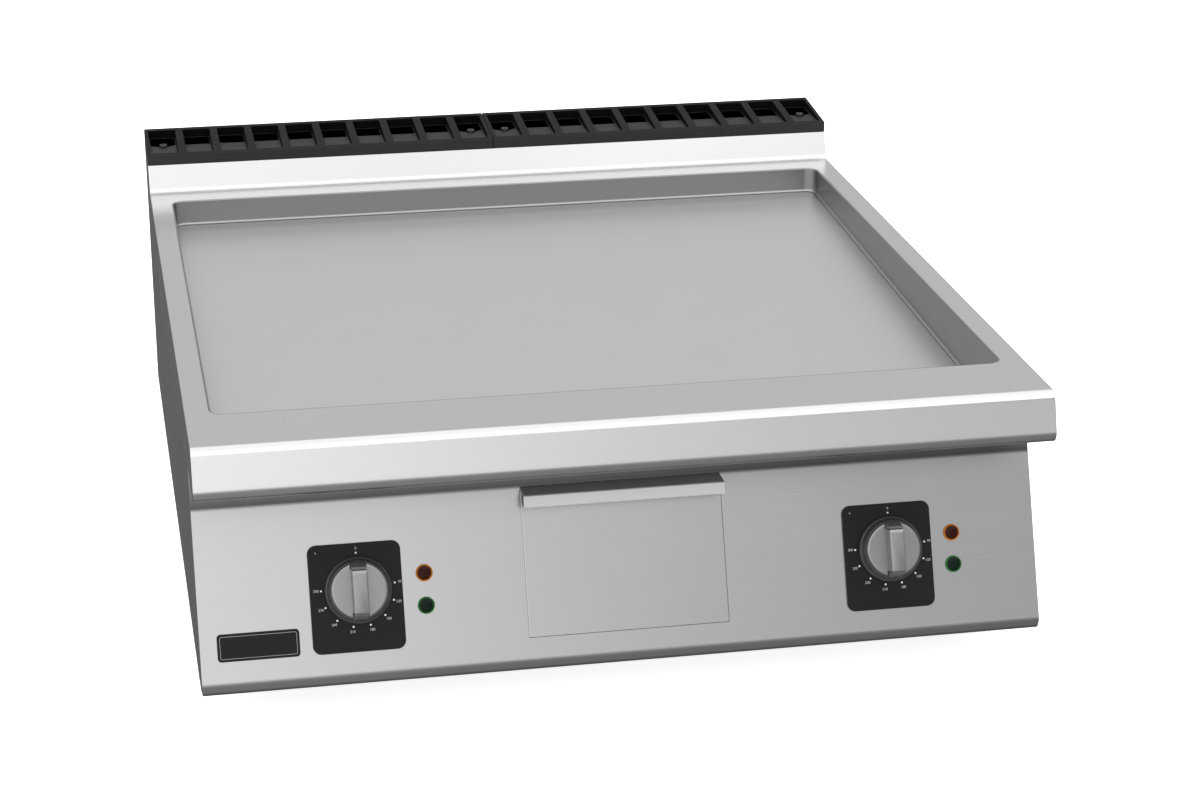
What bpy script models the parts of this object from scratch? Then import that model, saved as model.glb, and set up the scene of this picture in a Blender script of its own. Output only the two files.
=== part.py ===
"""Counter-top electric flat top griddle with a sunken cooking plate.

Metres, +Z up, front towards -Y.  The origin is the bottom centre of the object's box,
so the object stands on z = 0 and its worktop is WORKTOP_Z above it.
"""
import math

import bmesh
import bpy
from mathutils import Matrix, Vector

# ---- Driving dimensions -------------------------------------------------------------------
WIDTH = 0.800
DEPTH = 0.930
WORKTOP_Z = 0.290            # worktop above the counter
BODY_Z = 0.033               # underside of the casing above the counter
GAP = 0.0003                 # clearance kept between touching pieces
SHEET = 0.0015               # casing sheet
TOP_SHEET = 0.0020           # worktop sheet

HALF_W = WIDTH / 2
FRONT_Y = -DEPTH / 2
REAR_Y = DEPTH / 2
BACK_SHEET_Y = REAR_Y - 0.0020   # outside of the back sheet; its fasteners stand in the step
CASING_BACK_Y = BACK_SHEET_Y - SHEET - GAP   # rear ends of the worktop and the sides

# Front apron of the worktop, folded down and rolled under
APRON_DROP = 0.0485
APRON_TOP_SETBACK = 0.0109   # sharp top corner behind the foremost point
APRON_FOOT_SETBACK = -0.0032  # sharp bottom corner, ahead of the rolled edge
APRON_BEND_R = 0.0095
APRON_ROLL_R = 0.0096
APRON_RETURN = 0.0955       # underside flange reaches this far back
APRON_Z = WORKTOP_Z - APRON_DROP

# Upstand and vent grilles at the back
COVE_R = 0.007
UPSTAND_Y = FRONT_Y + 0.840  # its top edge, which leans back
UPSTAND_LEAN = 0.0115        # its foot is this far ahead of the top edge
UPSTAND_Z = WORKTOP_Z + 0.0303
GRILLE_FRONT_Z = WORKTOP_Z + 0.0422
GRILLE_REAR_Z = WORKTOP_Z + 0.0499
GRILLE_CELLS = 10
GRILLE_BAR = 0.0085
GRILLE_FRONT_RIM = 0.006
GRILLE_REAR_RIM = 0.008
GRILLE_LEDGE = 0.043         # solid ledge in the front of each cell
GRILLE_LEDGE_Z = GRILLE_FRONT_Z - 0.0025
GRILLE_STEP = 0.002          # the open part is this much narrower than the cell
GRILLE_CELL_FRONT_Y = UPSTAND_Y + GRILLE_FRONT_RIM
GRILLE_CELL_BACK_Y = REAR_Y - GRILLE_REAR_RIM
GRILLE_SCREW_Y = GRILLE_CELL_FRONT_Y + 0.037
SCREW_SHANK_R = 0.002
SCREW_HEAD_R = 0.0048
SCREW_LENGTH = 0.016

# Sunken cooking plate
RECESS_INSET = 0.0242
RECESS_FRONT_Y = FRONT_Y + 0.0976
RECESS_REAR_Y = FRONT_Y + 0.7924
RECESS_CORNER_R = 0.013
PLATE_REAR_DEPTH = 0.0280
PLATE_FRONT_DEPTH = 0.0515
PLATE_T = 0.015
PLATE_SLOPE = math.atan((PLATE_FRONT_DEPTH - PLATE_REAR_DEPTH) / (RECESS_REAR_Y - RECESS_FRONT_Y))
PLATE_EDGE_GAP = 0.0009
DRAIN_Y = FRONT_Y + 0.140
DRAIN_R = 0.021
SPOUT_FLANGE = 0.012
SPOUT_DROP = 0.034

# Heating stack in the plate's frame: its origin is the plate's top front edge
ELEMENT_R = 0.004
CLAMP_T = 0.004
CLAMP_HALF_L = 0.160
PAD_T = 0.025
ZONE_X = 0.188               # middle of a heating zone
ZONE_RUNS = 6
RUN_PITCH = 0.054
RUN_FRONT = 0.085
RUN_BACK = 0.655
TAIL_REACH = 0.030           # the element's ends go this far forward of the runs
TAIL_DROP = 0.055
TAIL_BEND_R = 0.012
ELEMENT_Z = -PLATE_T - GAP - ELEMENT_R
CLAMP_Z = ELEMENT_Z - ELEMENT_R - GAP - CLAMP_T
PAD_Z = CLAMP_Z - GAP - PAD_T
SHIELD_Z = PAD_Z - GAP - SHEET
SHIELD_LIP = 0.020
BULB_R = 0.0029
CAPILLARY_R = 0.0012

# Inclined control panel: its local frame has X along the width, Y up the slope, Z outwards
PANEL_TILT = math.radians(20.9)
PANEL_FOOT = Vector((0.0, FRONT_Y + 0.0181, BODY_Z + 0.020))
PANEL_ROLL_R = 0.012
PANEL_CORNER_Z = BODY_Z + 0.012
PANEL_SOLE_Y = FRONT_Y + 0.0543
PANEL_SOLE_L = 0.025         # flat flange under the casing
PANEL_SOLE_INSET = 0.0045

# Controls, in the panel's frame
DIAL_X = 0.254
DIAL_UP = 0.0796             # knob axis up the slope
KNOB_X_OFFSET = 0.0018       # knob axis to the right of the dial plate's middle
DIAL_PLATE = (0.0860, 0.1005, 0.0025)
DIAL_PLATE_UP = 0.0727
DIAL_PLATE_R = 0.008
KNOB_R = 0.031
KNOB_CAP_R = 0.026
KNOB_SKIRT_H = 0.0105
KNOB_CAP_T = 0.0030
GRIP_W = 0.0140
GRIP_L = 0.0420
GRIP_TOP = 0.0280            # grip face above the dial plate
SHAFT_R = 0.003
LAMP_X_OFFSET = 0.0640
LAMP_UPS = {"amber": 0.0905, "green": 0.0603}
LAMP_R = 0.008
LAMP_NECK_R = 0.0055
BADGE = (0.0755, 0.0255, 0.0015)
BADGE_AT = (-0.3465, 0.0355)
BADGE_R = 0.0035

# Grease drawer
DRAWER_HALF_W = 0.0955
DRAWER_LOW = 0.0225          # lower and upper edge of the front, up the slope
DRAWER_HIGH = 0.1635
DRAWER_SEAM = 0.0009
HANDLE_REACH = 0.0200
HANDLE_LIP = 0.0120          # measured along its slope, which is the panel's
DRAWER_SHEET = 0.0012
BOX_HALF_W = 0.0880
BOX_BACK_Y = FRONT_Y + 0.360
BOX_FLOOR_Z = BODY_Z + 0.047
BOX_RIM_Z = BODY_Z + 0.130
RUNNER_WEB_X = 0.0950

# Feet
FOOT_X = 0.335
FOOT_FRONT_Y = FRONT_Y + 0.150
FOOT_REAR_Y = REAR_Y - 0.075
FOOT_PAD_R = 0.024
FOOT_STEM_R = 0.005

# Casing sheets at the back and below
SIDE_FLANGE = 0.018
VENT_COLUMNS = 12
VENT_PITCH = 0.050
VENT_ROW_PITCH = 0.016
VENT_SLOT = (0.036, 0.006)
VENT_Z = BODY_Z + 0.050
TRAY_Z = BODY_Z + SHEET + GAP     # underside of the base tray
TRAY_TOP = TRAY_Z + SHEET
TRAY_LIP = 0.012

# Electrical parts
GLAND_AT = (0.250, REAR_Y - 0.090)
GLAND_R = 0.011
LOOM_R = 0.004
RESET_R = 0.0035
CONTACTOR_Y = REAR_Y - 0.200

SIDES = ((-1, "left"), (1, "right"))

# ---- Scene set-up -------------------------------------------------------------------------
for old in list(bpy.data.objects):
    bpy.data.objects.remove(old, do_unlink=True)

PARTS = bpy.data.collections.new("flat_top_griddle")
CUTTERS = bpy.data.collections.new("cutters")
bpy.context.scene.collection.children.link(PARTS)
bpy.context.scene.collection.children.link(CUTTERS)

MATERIALS = {
    "stainless": ((0.55, 0.55, 0.54), 0.32, 1.0),
    "plate_steel": ((0.46, 0.46, 0.47), 0.42, 1.0),
    "cast_black": ((0.020, 0.020, 0.020), 0.55, 0.0),
    "black_plastic": ((0.016, 0.016, 0.017), 0.38, 0.0),
    "silver_plastic": ((0.42, 0.42, 0.42), 0.40, 0.6),
    "amber_lens": ((0.60, 0.18, 0.02), 0.15, 0.0),
    "green_lens": ((0.02, 0.25, 0.05), 0.15, 0.0),
    "galvanised": ((0.42, 0.43, 0.44), 0.45, 1.0),
    "element_alloy": ((0.12, 0.11, 0.10), 0.50, 0.9),
    "ceramic_fibre": ((0.80, 0.78, 0.72), 0.95, 0.0),
    "copper": ((0.60, 0.30, 0.18), 0.35, 1.0),
    "red_plastic": ((0.45, 0.03, 0.02), 0.40, 0.0),
    "rubber": ((0.025, 0.025, 0.025), 0.80, 0.0),
    "grey_plastic": ((0.22, 0.23, 0.24), 0.50, 0.0),
    "zinc": ((0.50, 0.51, 0.52), 0.35, 1.0),
}


def material(name):
    """Return the named Principled material, made on first use."""
    found = bpy.data.materials.get(name)
    if found:
        return found
    colour, roughness, metallic = MATERIALS[name]
    made = bpy.data.materials.new(name)
    made.use_nodes = True
    shader = made.node_tree.nodes["Principled BSDF"]
    shader.inputs["Base Color"].default_value = (*colour, 1.0)
    shader.inputs["Roughness"].default_value = roughness
    shader.inputs["Metallic"].default_value = metallic
    return made


# ---- Building helpers ---------------------------------------------------------------------
def put(name, data, finish, matrix=None, parent=None):
    """Make an object of the part from data, with one material."""
    made = bpy.data.objects.new(name, data)
    PARTS.objects.link(made)
    data.materials.clear()
    data.materials.append(material(finish))
    if parent:
        made.parent = parent
    if matrix:
        made.matrix_local = matrix
    return made


def mesh_of(bm):
    """Turn a bmesh into mesh data and free it."""
    data = bpy.data.meshes.new("mesh")
    bm.to_mesh(data)
    bm.free()
    return data


def block(bm, low, high):
    """Add a box between two corners to a bmesh and return its vertices."""
    size = [b - a for a, b in zip(low, high)]
    centre = [(a + b) / 2 for a, b in zip(low, high)]
    turn = Matrix.Translation(centre) @ Matrix.Diagonal((*size, 1.0))
    return bmesh.ops.create_cube(bm, size=1.0, matrix=turn)["verts"]


def rod(bm, radius, low, high, at=(0.0, 0.0), segments=32):
    """Add an upright cylinder from low to high to a bmesh."""
    place = Matrix.Translation((at[0], at[1], (low + high) / 2))
    bmesh.ops.create_cone(bm, cap_ends=True, segments=segments, radius1=radius, radius2=radius,
                          depth=high - low, matrix=place)


def round_block(bm, low, high, radius, segments=5):
    """Add a box whose upright edges are rounded."""
    verts = block(bm, low, high)
    upright = [e for e in {e for v in verts for e in v.link_edges}
               if abs(e.verts[0].co.z - e.verts[1].co.z) > 1e-6]
    bmesh.ops.bevel(bm, geom=upright, offset=radius, segments=segments, affect="EDGES",
                    profile=0.5)


def cutter(name, bm, matrix=None):
    """Keep a bmesh as a hidden tool body."""
    made = bpy.data.objects.new(name, mesh_of(bm))
    CUTTERS.objects.link(made)
    made.hide_render = True
    made.display_type = "WIRE"
    if matrix:
        made.matrix_world = matrix
    return made


def combine(made, tool, operation):
    """Cut a tool body from an object, or join it on."""
    step = made.modifiers.new(operation.lower(), "BOOLEAN")
    step.operation = operation
    step.solver = "EXACT"
    step.object = tool


def solid(name, finish, build, matrix=None, parent=None):
    """Make an object whose mesh is built by build(bm)."""
    bm = bmesh.new()
    build(bm)
    return put(name, mesh_of(bm), finish, matrix, parent)


def turned(name, finish, profile, matrix=None, parent=None, steps=32, closed=False):
    """Revolve a profile of (radius, height) points, given from the top down its outside."""
    bm = bmesh.new()
    verts = [bm.verts.new((radius, 0.0, height)) for radius, height in profile]
    for first, second in zip(verts, verts[1:]):
        bm.edges.new((first, second))
    if closed:
        bm.edges.new((verts[-1], verts[0]))
    made = put(name, mesh_of(bm), finish, matrix, parent)
    spin = made.modifiers.new("turn", "SCREW")
    spin.axis = "Z"
    spin.steps = steps
    spin.render_steps = steps
    spin.use_merge_vertices = True
    spin.merge_threshold = 0.00001
    spin.use_smooth_shade = True
    return made


def fillet(corners, radii, steps=6):
    """Round the corners of an open 2-D polyline; end points keep radius 0."""
    points = []
    for index, (corner, radius) in enumerate(zip(corners, radii)):
        here = Vector(corner)
        if radius == 0.0:
            points.append(here)
            continue
        back = (Vector(corners[index - 1]) - here).normalized()
        ahead = (Vector(corners[(index + 1) % len(corners)]) - here).normalized()
        half = back.angle(ahead) / 2
        centre = here + (back + ahead).normalized() * (radius / math.sin(half))
        start = here + back * (radius / math.tan(half)) - centre
        sweep = start.angle_signed(here + ahead * (radius / math.tan(half)) - centre)
        for step in range(steps + 1):
            turn = Matrix.Rotation(-sweep * step / steps, 2)
            points.append(centre + turn @ start)
    return points


def inset_path(corners, distance):
    """Offset an open 2-D polyline to its left, keeping its corners sharp."""
    points = [Vector(corner) for corner in corners]
    normals = [Vector((a.y - b.y, b.x - a.x)).normalized() for a, b in zip(points, points[1:])]
    moved = [points[0] + normals[0] * distance]
    for point, before, after in zip(points[1:], normals, normals[1:]):
        moved.append(point + (before + after) * (distance / (1.0 + before.dot(after))))
    moved.append(points[-1] + normals[-1] * distance)
    return moved


def strip(name, finish, profile, half_widths, thickness, matrix=None):
    """Fold a sheet along a (y, z) profile across the width; its outside is on the left."""
    bm = bmesh.new()
    if not isinstance(half_widths, (list, tuple)):
        half_widths = [half_widths] * len(profile)
    rows = [[bm.verts.new((side * half, point[0], point[1])) for side in (-1, 1)]
            for point, half in zip(profile, half_widths)]
    for low, high in zip(rows, rows[1:]):
        bm.faces.new((low[0], low[1], high[1], high[0]))
    made = put(name, mesh_of(bm), finish, matrix)
    thicken(made, thickness)
    return made


def thicken(made, thickness):
    """Give an open surface its sheet thickness, inwards."""
    step = made.modifiers.new("sheet", "SOLIDIFY")
    step.thickness = thickness
    step.offset = -1.0
    step.use_even_offset = True


def outline(name, finish, loops, thickness, matrix=None, parent=None):
    """Extrude a flat outline with holes; z = 0 is its underside.  Returned as a mesh."""
    curve = bpy.data.curves.new("outline", "CURVE")
    curve.dimensions = "2D"
    curve.fill_mode = "BOTH"
    curve.extrude = thickness / 2
    for loop in loops:
        spline = curve.splines.new("POLY")
        spline.points.add(len(loop) - 1)
        for target, point in zip(spline.points, loop):
            target.co = (point[0], point[1], 0.0, 1.0)
        spline.use_cyclic_u = True
    lift = Matrix.Translation((0.0, 0.0, thickness / 2))
    return from_curve(name, finish, curve, (matrix or Matrix()) @ lift, parent)


def from_curve(name, finish, curve, matrix=None, parent=None):
    """Turn curve data into a welded mesh object."""
    guide = bpy.data.objects.new("guide", curve)
    CUTTERS.objects.link(guide)
    bpy.context.view_layer.update()
    found = guide.evaluated_get(bpy.context.evaluated_depsgraph_get())
    data = bpy.data.meshes.new_from_object(found)
    bm = bmesh.new()
    bm.from_mesh(data)
    bmesh.ops.remove_doubles(bm, verts=bm.verts, dist=0.000005)
    bm.to_mesh(data)
    bm.free()
    bpy.data.objects.remove(guide, do_unlink=True)
    return put(name, data, finish, matrix, parent)


def rounded_rect(width, height, radius, centre=(0.0, 0.0), steps=5):
    """Closed outline of a rectangle with round corners."""
    corners = [(centre[0] + sx * width / 2, centre[1] + sy * height / 2)
               for sx, sy in ((-1, -1), (1, -1), (1, 1), (-1, 1))]
    return fillet(corners, [radius] * 4, steps)


def circle(radius, centre=(0.0, 0.0), steps=24):
    """Closed outline of a circle."""
    return [Vector((centre[0] + radius * math.cos(math.tau * k / steps),
                    centre[1] + radius * math.sin(math.tau * k / steps)))
            for k in range(steps)]


def tube(name, finish, route, radius, matrix=None, parent=None, swell=None):
    """Sweep a round wire along a list of points; swell gives a factor per point."""
    curve = bpy.data.curves.new(name, "CURVE")
    curve.dimensions = "3D"
    curve.bevel_depth = radius
    curve.bevel_resolution = 2
    curve.use_fill_caps = True
    spline = curve.splines.new("POLY")
    spline.points.add(len(route) - 1)
    for index, (target, point) in enumerate(zip(spline.points, route)):
        target.co = (*point, 1.0)
        target.radius = swell[index] if swell else 1.0
    made = put(name, curve, finish, matrix, parent)
    return made


def bend(start, corner, end, radius, steps=5):
    """Points of a fillet in space between two straight runs that meet at corner."""
    corner = Vector(corner)
    back = (Vector(start) - corner).normalized()
    ahead = (Vector(end) - corner).normalized()
    half = back.angle(ahead) / 2
    centre = corner + (back + ahead).normalized() * (radius / math.sin(half))
    first = corner + back * (radius / math.tan(half)) - centre
    last = corner + ahead * (radius / math.tan(half)) - centre
    return [centre + first.slerp(last, step / steps).normalized() * radius
            for step in range(steps + 1)]


def panel_frame(x=0.0, up=0.0, out=0.0):
    """Matrix of a place on the control panel: X across, Y up the slope, Z outwards."""
    turn = Matrix.Rotation(math.pi / 2 - PANEL_TILT, 4, "X")
    return Matrix.Translation(PANEL_FOOT) @ turn @ Matrix.Translation((x, up, out))


def panel_y(z):
    """Y of the panel's outer face at a height."""
    return PANEL_FOOT.y + (z - PANEL_FOOT.z) * math.tan(PANEL_TILT)


def plate_frame():
    """Matrix of the plate's top face: origin at its front edge, Y to the back along the slope."""
    place = Matrix.Translation((0.0, RECESS_FRONT_Y, WORKTOP_Z - PLATE_FRONT_DEPTH))
    return place @ Matrix.Rotation(PLATE_SLOPE, 4, "X")


# ---- Worktop, recess and plate ------------------------------------------------------------
def make_worktop():
    """Pressed top: apron, flat, cove and upstand in one sheet, with both side walls."""
    corners = [(FRONT_Y + APRON_RETURN, APRON_Z),
               (FRONT_Y + APRON_FOOT_SETBACK, APRON_Z),
               (FRONT_Y + APRON_TOP_SETBACK, WORKTOP_Z),
               (UPSTAND_Y - UPSTAND_LEAN, WORKTOP_Z),
               (UPSTAND_Y, UPSTAND_Z)]
    profile = fillet(corners, [0.0, APRON_ROLL_R, APRON_BEND_R, COVE_R, 0.0], steps=7)
    bm = bmesh.new()
    sides = []
    for side in (-1, 1):
        sides.append([bm.verts.new((side * HALF_W, y, z)) for y, z in profile])
    for index in range(len(profile) - 1):
        bm.faces.new((sides[0][index], sides[0][index + 1], sides[1][index + 1], sides[1][index]))
    for side, verts in zip((-1, 1), sides):
        high = bm.verts.new((side * HALF_W, CASING_BACK_Y, UPSTAND_Z))
        low = bm.verts.new((side * HALF_W, CASING_BACK_Y, APRON_Z))
        loop = verts + [high, low]
        bm.faces.new(loop if side > 0 else loop[::-1])
    bmesh.ops.recalc_face_normals(bm, faces=bm.faces)
    top = max(bm.faces, key=lambda f: f.calc_area() if abs(f.normal.z) > 0.9 else 0.0)
    if top.normal.z < 0:
        bmesh.ops.reverse_faces(bm, faces=bm.faces)
    made = put("worktop", mesh_of(bm), "stainless")
    thicken(made, TOP_SHEET)
    hole = bmesh.new()
    half = HALF_W - RECESS_INSET
    round_block(hole, (-half, RECESS_FRONT_Y, WORKTOP_Z - 0.02),
                (half, RECESS_REAR_Y, WORKTOP_Z + 0.02), RECESS_CORNER_R)
    combine(made, cutter("recess_hole", hole), "DIFFERENCE")


def make_recess_collar():
    """Upright wall ring welded under the worktop's opening."""
    length = RECESS_REAR_Y - RECESS_FRONT_Y
    width = WIDTH - 2 * RECESS_INSET
    centre = (0.0, (RECESS_REAR_Y + RECESS_FRONT_Y) / 2)
    low = WORKTOP_Z - PLATE_FRONT_DEPTH - PLATE_T - 0.002
    high = WORKTOP_Z - TOP_SHEET - GAP
    outside = rounded_rect(width + 2 * SHEET, length + 2 * SHEET, RECESS_CORNER_R + SHEET, centre)
    inside = rounded_rect(width, length, RECESS_CORNER_R, centre)
    outline("recess_collar", "stainless", [outside, inside], high - low,
            Matrix.Translation((0.0, 0.0, low)))


def make_cooking_plate():
    """Thick steel plate, sloping to the drain hole at its front centre."""
    length = (RECESS_REAR_Y - RECESS_FRONT_Y) / math.cos(PLATE_SLOPE)
    width = WIDTH - 2 * RECESS_INSET
    loop = rounded_rect(width - 2 * PLATE_EDGE_GAP, length - 2 * PLATE_EDGE_GAP,
                        RECESS_CORNER_R - PLATE_EDGE_GAP, (0.0, length / 2))
    drain = circle(DRAIN_R, (0.0, DRAIN_Y - RECESS_FRONT_Y))
    outline("cooking_plate", "plate_steel", [loop, drain], PLATE_T,
            plate_frame() @ Matrix.Translation((0.0, 0.0, -PLATE_T)))


def make_drain_spout():
    """Flanged pipe under the plate that drips into the drawer."""
    rim = DRAIN_R + SPOUT_FLANGE
    wall = DRAIN_R + SHEET
    profile = [(DRAIN_R, 0.0), (rim, 0.0), (rim, -SHEET), (wall, -SHEET),
               (wall, -SPOUT_DROP), (DRAIN_R, -SPOUT_DROP)]
    place = plate_frame() @ Matrix.Translation(
        (0.0, DRAIN_Y - RECESS_FRONT_Y, -PLATE_T - GAP))
    turned("drain_spout", "stainless", profile, place, steps=24, closed=True)


# ---- Under the plate ----------------------------------------------------------------------
def make_heating_element(side, name):
    """Serpentine tubular element of one zone, its ends turned down at the front."""
    first = -(ZONE_RUNS - 1) * RUN_PITCH / 2
    route = []
    radius = RUN_PITCH / 2
    for run in range(ZONE_RUNS):
        x = side * ZONE_X + first + run * RUN_PITCH
        ends = (RUN_FRONT + radius, RUN_BACK - radius)
        ys = ends if run % 2 == 0 else ends[::-1]
        route += [(x, ys[0], ELEMENT_Z), (x, ys[1], ELEMENT_Z)]
        if run == ZONE_RUNS - 1:
            break
        turn = 1 if run % 2 == 0 else -1
        for step in range(1, 8):
            angle = math.pi * step / 8
            route.append((x + radius - radius * math.cos(angle),
                          ys[1] + turn * radius * math.sin(angle), ELEMENT_Z))
    tails = []
    for end in (route[0], route[-1]):
        corner = (end[0], RUN_FRONT - TAIL_REACH, ELEMENT_Z)
        low = (end[0], RUN_FRONT - TAIL_REACH, ELEMENT_Z - TAIL_DROP)
        tails.append([low, *bend(low, corner, end, TAIL_BEND_R)])
    route = tails[0] + route + tails[1][::-1]
    tube(name, "element_alloy", route, ELEMENT_R, plate_frame())


def make_plate_stack():
    """Clamp bars, insulation, heat shield and cross rails below the elements."""
    for side, name in SIDES:
        make_heating_element(side, f"heating_element_{name}")
        middle = side * ZONE_X
        solid(f"element_clamp_{name}", "galvanised", lambda bm, x=middle: block(
            bm, (x - CLAMP_HALF_L, 0.350, CLAMP_Z), (x + CLAMP_HALF_L, 0.378, CLAMP_Z + CLAMP_T)),
            plate_frame())
    solid("insulation_pad", "ceramic_fibre", lambda bm: block(
        bm, (-0.365, 0.080, PAD_Z), (0.365, 0.680, PAD_Z + PAD_T)), plate_frame())
    profile = [(0.078, SHIELD_Z + SHIELD_LIP), (0.078, SHIELD_Z), (0.682, SHIELD_Z),
               (0.682, SHIELD_Z + SHIELD_LIP)]
    strip("heat_shield", "galvanised", profile, 0.366, -SHEET, plate_frame())
    top = SHIELD_Z - GAP
    leg, width = 0.012, 0.030
    for at, name in ((0.150, "front"), (0.610, "rear")):
        channel = [(at, top - leg), (at, top), (at + width, top), (at + width, top - leg)]
        strip(f"cross_rail_{name}", "galvanised", channel, HALF_W - 0.0045, SHEET, plate_frame())


# ---- Casing -------------------------------------------------------------------------------
def panel_profile():
    """Outer (y, z) corners of the control panel sheet, from its top flange to its sole."""
    top = APRON_Z - GAP
    corners = [(FRONT_Y + APRON_RETURN, top), (panel_y(top), top),
               (panel_y(PANEL_CORNER_Z), PANEL_CORNER_Z), (PANEL_SOLE_Y, BODY_Z),
               (PANEL_SOLE_Y + PANEL_SOLE_L, BODY_Z)]
    return corners, [0.0, 0.003, PANEL_ROLL_R, 0.004, 0.0]


def make_front_panel():
    """Inclined control panel with its drawer opening, shaft holes and lamp holes."""
    corners, radii = panel_profile()
    profile = fillet(corners, radii, steps=6)
    halves = [HALF_W - (PANEL_SOLE_INSET if z < PANEL_CORNER_Z - 0.006 else 0.0)
              for _, z in profile]
    made = strip("front_panel", "stainless", profile[::-1], halves[::-1], SHEET)
    tool = bmesh.new()
    block(tool, (-DRAWER_HALF_W - DRAWER_SEAM, DRAWER_LOW - DRAWER_SEAM, -0.02),
          (DRAWER_HALF_W + DRAWER_SEAM, DRAWER_HIGH + DRAWER_SEAM, 0.02))
    for side in (-1, 1):
        rod(tool, 0.006, -0.02, 0.02, (side * DIAL_X + KNOB_X_OFFSET, DIAL_UP), 20)
        for up in LAMP_UPS.values():
            rod(tool, LAMP_NECK_R + GAP, -0.02, 0.02, (side * DIAL_X + LAMP_X_OFFSET, up), 20)
    combine(made, cutter("panel_openings", tool, panel_frame()), "DIFFERENCE")


def make_side_panels():
    """Flat side sheets with a sole flange and a rear flange turned inwards."""
    inset = SHEET + GAP
    top = APRON_Z - GAP
    sole_end = PANEL_SOLE_Y + PANEL_SOLE_L + GAP
    start = FRONT_Y + APRON_RETURN + GAP
    front = inset_path(panel_profile()[0], inset)[1:-1]
    corners = [*front, (sole_end, BODY_Z + inset), (sole_end, BODY_Z),
               (CASING_BACK_Y, BODY_Z), (CASING_BACK_Y, top), (start, top), (start, top - inset)]
    loop = fillet(corners, [0.0, PANEL_ROLL_R - inset] + [0.0] * 7, steps=6)
    for side, name in SIDES:
        bm = bmesh.new()
        verts = [bm.verts.new((side * HALF_W, y, z)) for y, z in loop]
        bm.faces.new(verts)
        count = len(verts)
        sole = [verts[count - 5], verts[count - 4], verts[count - 3]]
        inner = [bm.verts.new((v.co.x - side * SIDE_FLANGE, v.co.y, v.co.z)) for v in sole]
        for index in range(2):
            bm.faces.new((sole[index], sole[index + 1], inner[index + 1], inner[index]))
        bmesh.ops.recalc_face_normals(bm, faces=bm.faces)
        wall = max(bm.faces, key=lambda f: f.calc_area())
        if wall.normal.x * side < 0:
            bmesh.ops.reverse_faces(bm, faces=bm.faces)
        made = put(f"side_panel_{name}", mesh_of(bm), "stainless")
        thicken(made, SHEET)


def make_rear_panel():
    """Back sheet with two rows of ventilation slots."""
    made = solid("rear_panel", "stainless", lambda bm: block(
        bm, (-HALF_W, BACK_SHEET_Y - SHEET, BODY_Z), (HALF_W, BACK_SHEET_Y, UPSTAND_Z - GAP)))
    tool = bmesh.new()
    width, height = VENT_SLOT
    for column in range(VENT_COLUMNS):
        x = (column - (VENT_COLUMNS - 1) / 2) * VENT_PITCH
        for row in range(2):
            z = VENT_Z + row * VENT_ROW_PITCH
            block(tool, (x - width / 2, BACK_SHEET_Y - 0.01, z),
                  (x + width / 2, BACK_SHEET_Y + 0.01, z + height))
    combine(made, cutter("rear_slots", tool), "DIFFERENCE")


def make_base_tray():
    """Bottom sheet with upturned front and back, holes for feet and gland."""
    front = PANEL_SOLE_Y + 0.008
    back = CASING_BACK_Y - GAP - 0.002
    rim = TRAY_Z + TRAY_LIP
    profile = [(front, rim), (front, TRAY_Z), (back, TRAY_Z), (back, rim)]
    made = strip("base_tray", "galvanised", profile, HALF_W - SHEET - 0.002, -SHEET)
    tool = bmesh.new()
    for x in (-FOOT_X, FOOT_X):
        for y in (FOOT_FRONT_Y, FOOT_REAR_Y):
            rod(tool, FOOT_STEM_R + GAP, BODY_Z - 0.01, BODY_Z + 0.02, (x, y), 20)
    rod(tool, GLAND_R + GAP, BODY_Z - 0.01, BODY_Z + 0.02, GLAND_AT, 24)
    combine(made, cutter("tray_holes", tool), "DIFFERENCE")


# ---- Vent grilles -------------------------------------------------------------------------
def make_grille(side, name):
    """Cast grille of ten cells with ledges; the ledges of the two end cells take its screws."""
    low_x, high_x = sorted((side * GAP, side * HALF_W))
    base = UPSTAND_Z
    bm = bmesh.new()
    verts = block(bm, (low_x, UPSTAND_Y, base), (high_x, REAR_Y, GRILLE_REAR_Z))
    for vert in verts:
        if vert.co.z > base + 0.001:
            vert.co.z = GRILLE_FRONT_Z if vert.co.y < REAR_Y - 0.001 else GRILLE_REAR_Z
    made = put(f"flue_grille_{name}", mesh_of(bm), "cast_black")
    pockets = bmesh.new()
    holes = bmesh.new()
    pitch = (high_x - low_x) / GRILLE_CELLS
    half = (pitch - GRILLE_BAR) / 2
    above = GRILLE_REAR_Z + 0.01
    centres = [low_x + (cell + 0.5) * pitch for cell in range(GRILLE_CELLS)]
    ends = (centres[0], centres[-1])
    for x in centres:
        block(pockets, (x - half, GRILLE_CELL_FRONT_Y, GRILLE_LEDGE_Z),
              (x + half, GRILLE_CELL_BACK_Y, above))
        block(holes, (x - half + GRILLE_STEP, GRILLE_CELL_FRONT_Y + GRILLE_LEDGE, base - 0.01),
              (x + half - GRILLE_STEP, GRILLE_CELL_BACK_Y - GRILLE_STEP, above))
    for x in ends:
        rod(holes, SCREW_SHANK_R + GAP, base - 0.01, above, (x, GRILLE_SCREW_Y), 16)
    combine(made, cutter(f"grille_pockets_{name}", pockets), "DIFFERENCE")
    combine(made, cutter(f"grille_holes_{name}", holes), "DIFFERENCE")
    return ends


def make_grille_screws(places, name):
    """Dome-headed screws that hold a grille down."""
    profile = [(0.0, 0.0030), (SCREW_HEAD_R * 0.6, 0.0026), (SCREW_HEAD_R, 0.0010),
               (SCREW_HEAD_R, 0.0), (SCREW_SHANK_R, 0.0), (SCREW_SHANK_R, -SCREW_LENGTH),
               (0.0, -SCREW_LENGTH)]
    for x, end in zip(places, ("outer", "inner") if name == "left" else ("inner", "outer")):
        turned(f"grille_screw_{name}_{end}", "zinc", profile,
               Matrix.Translation((x, GRILLE_SCREW_Y, GRILLE_LEDGE_Z + GAP)), steps=20)


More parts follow.
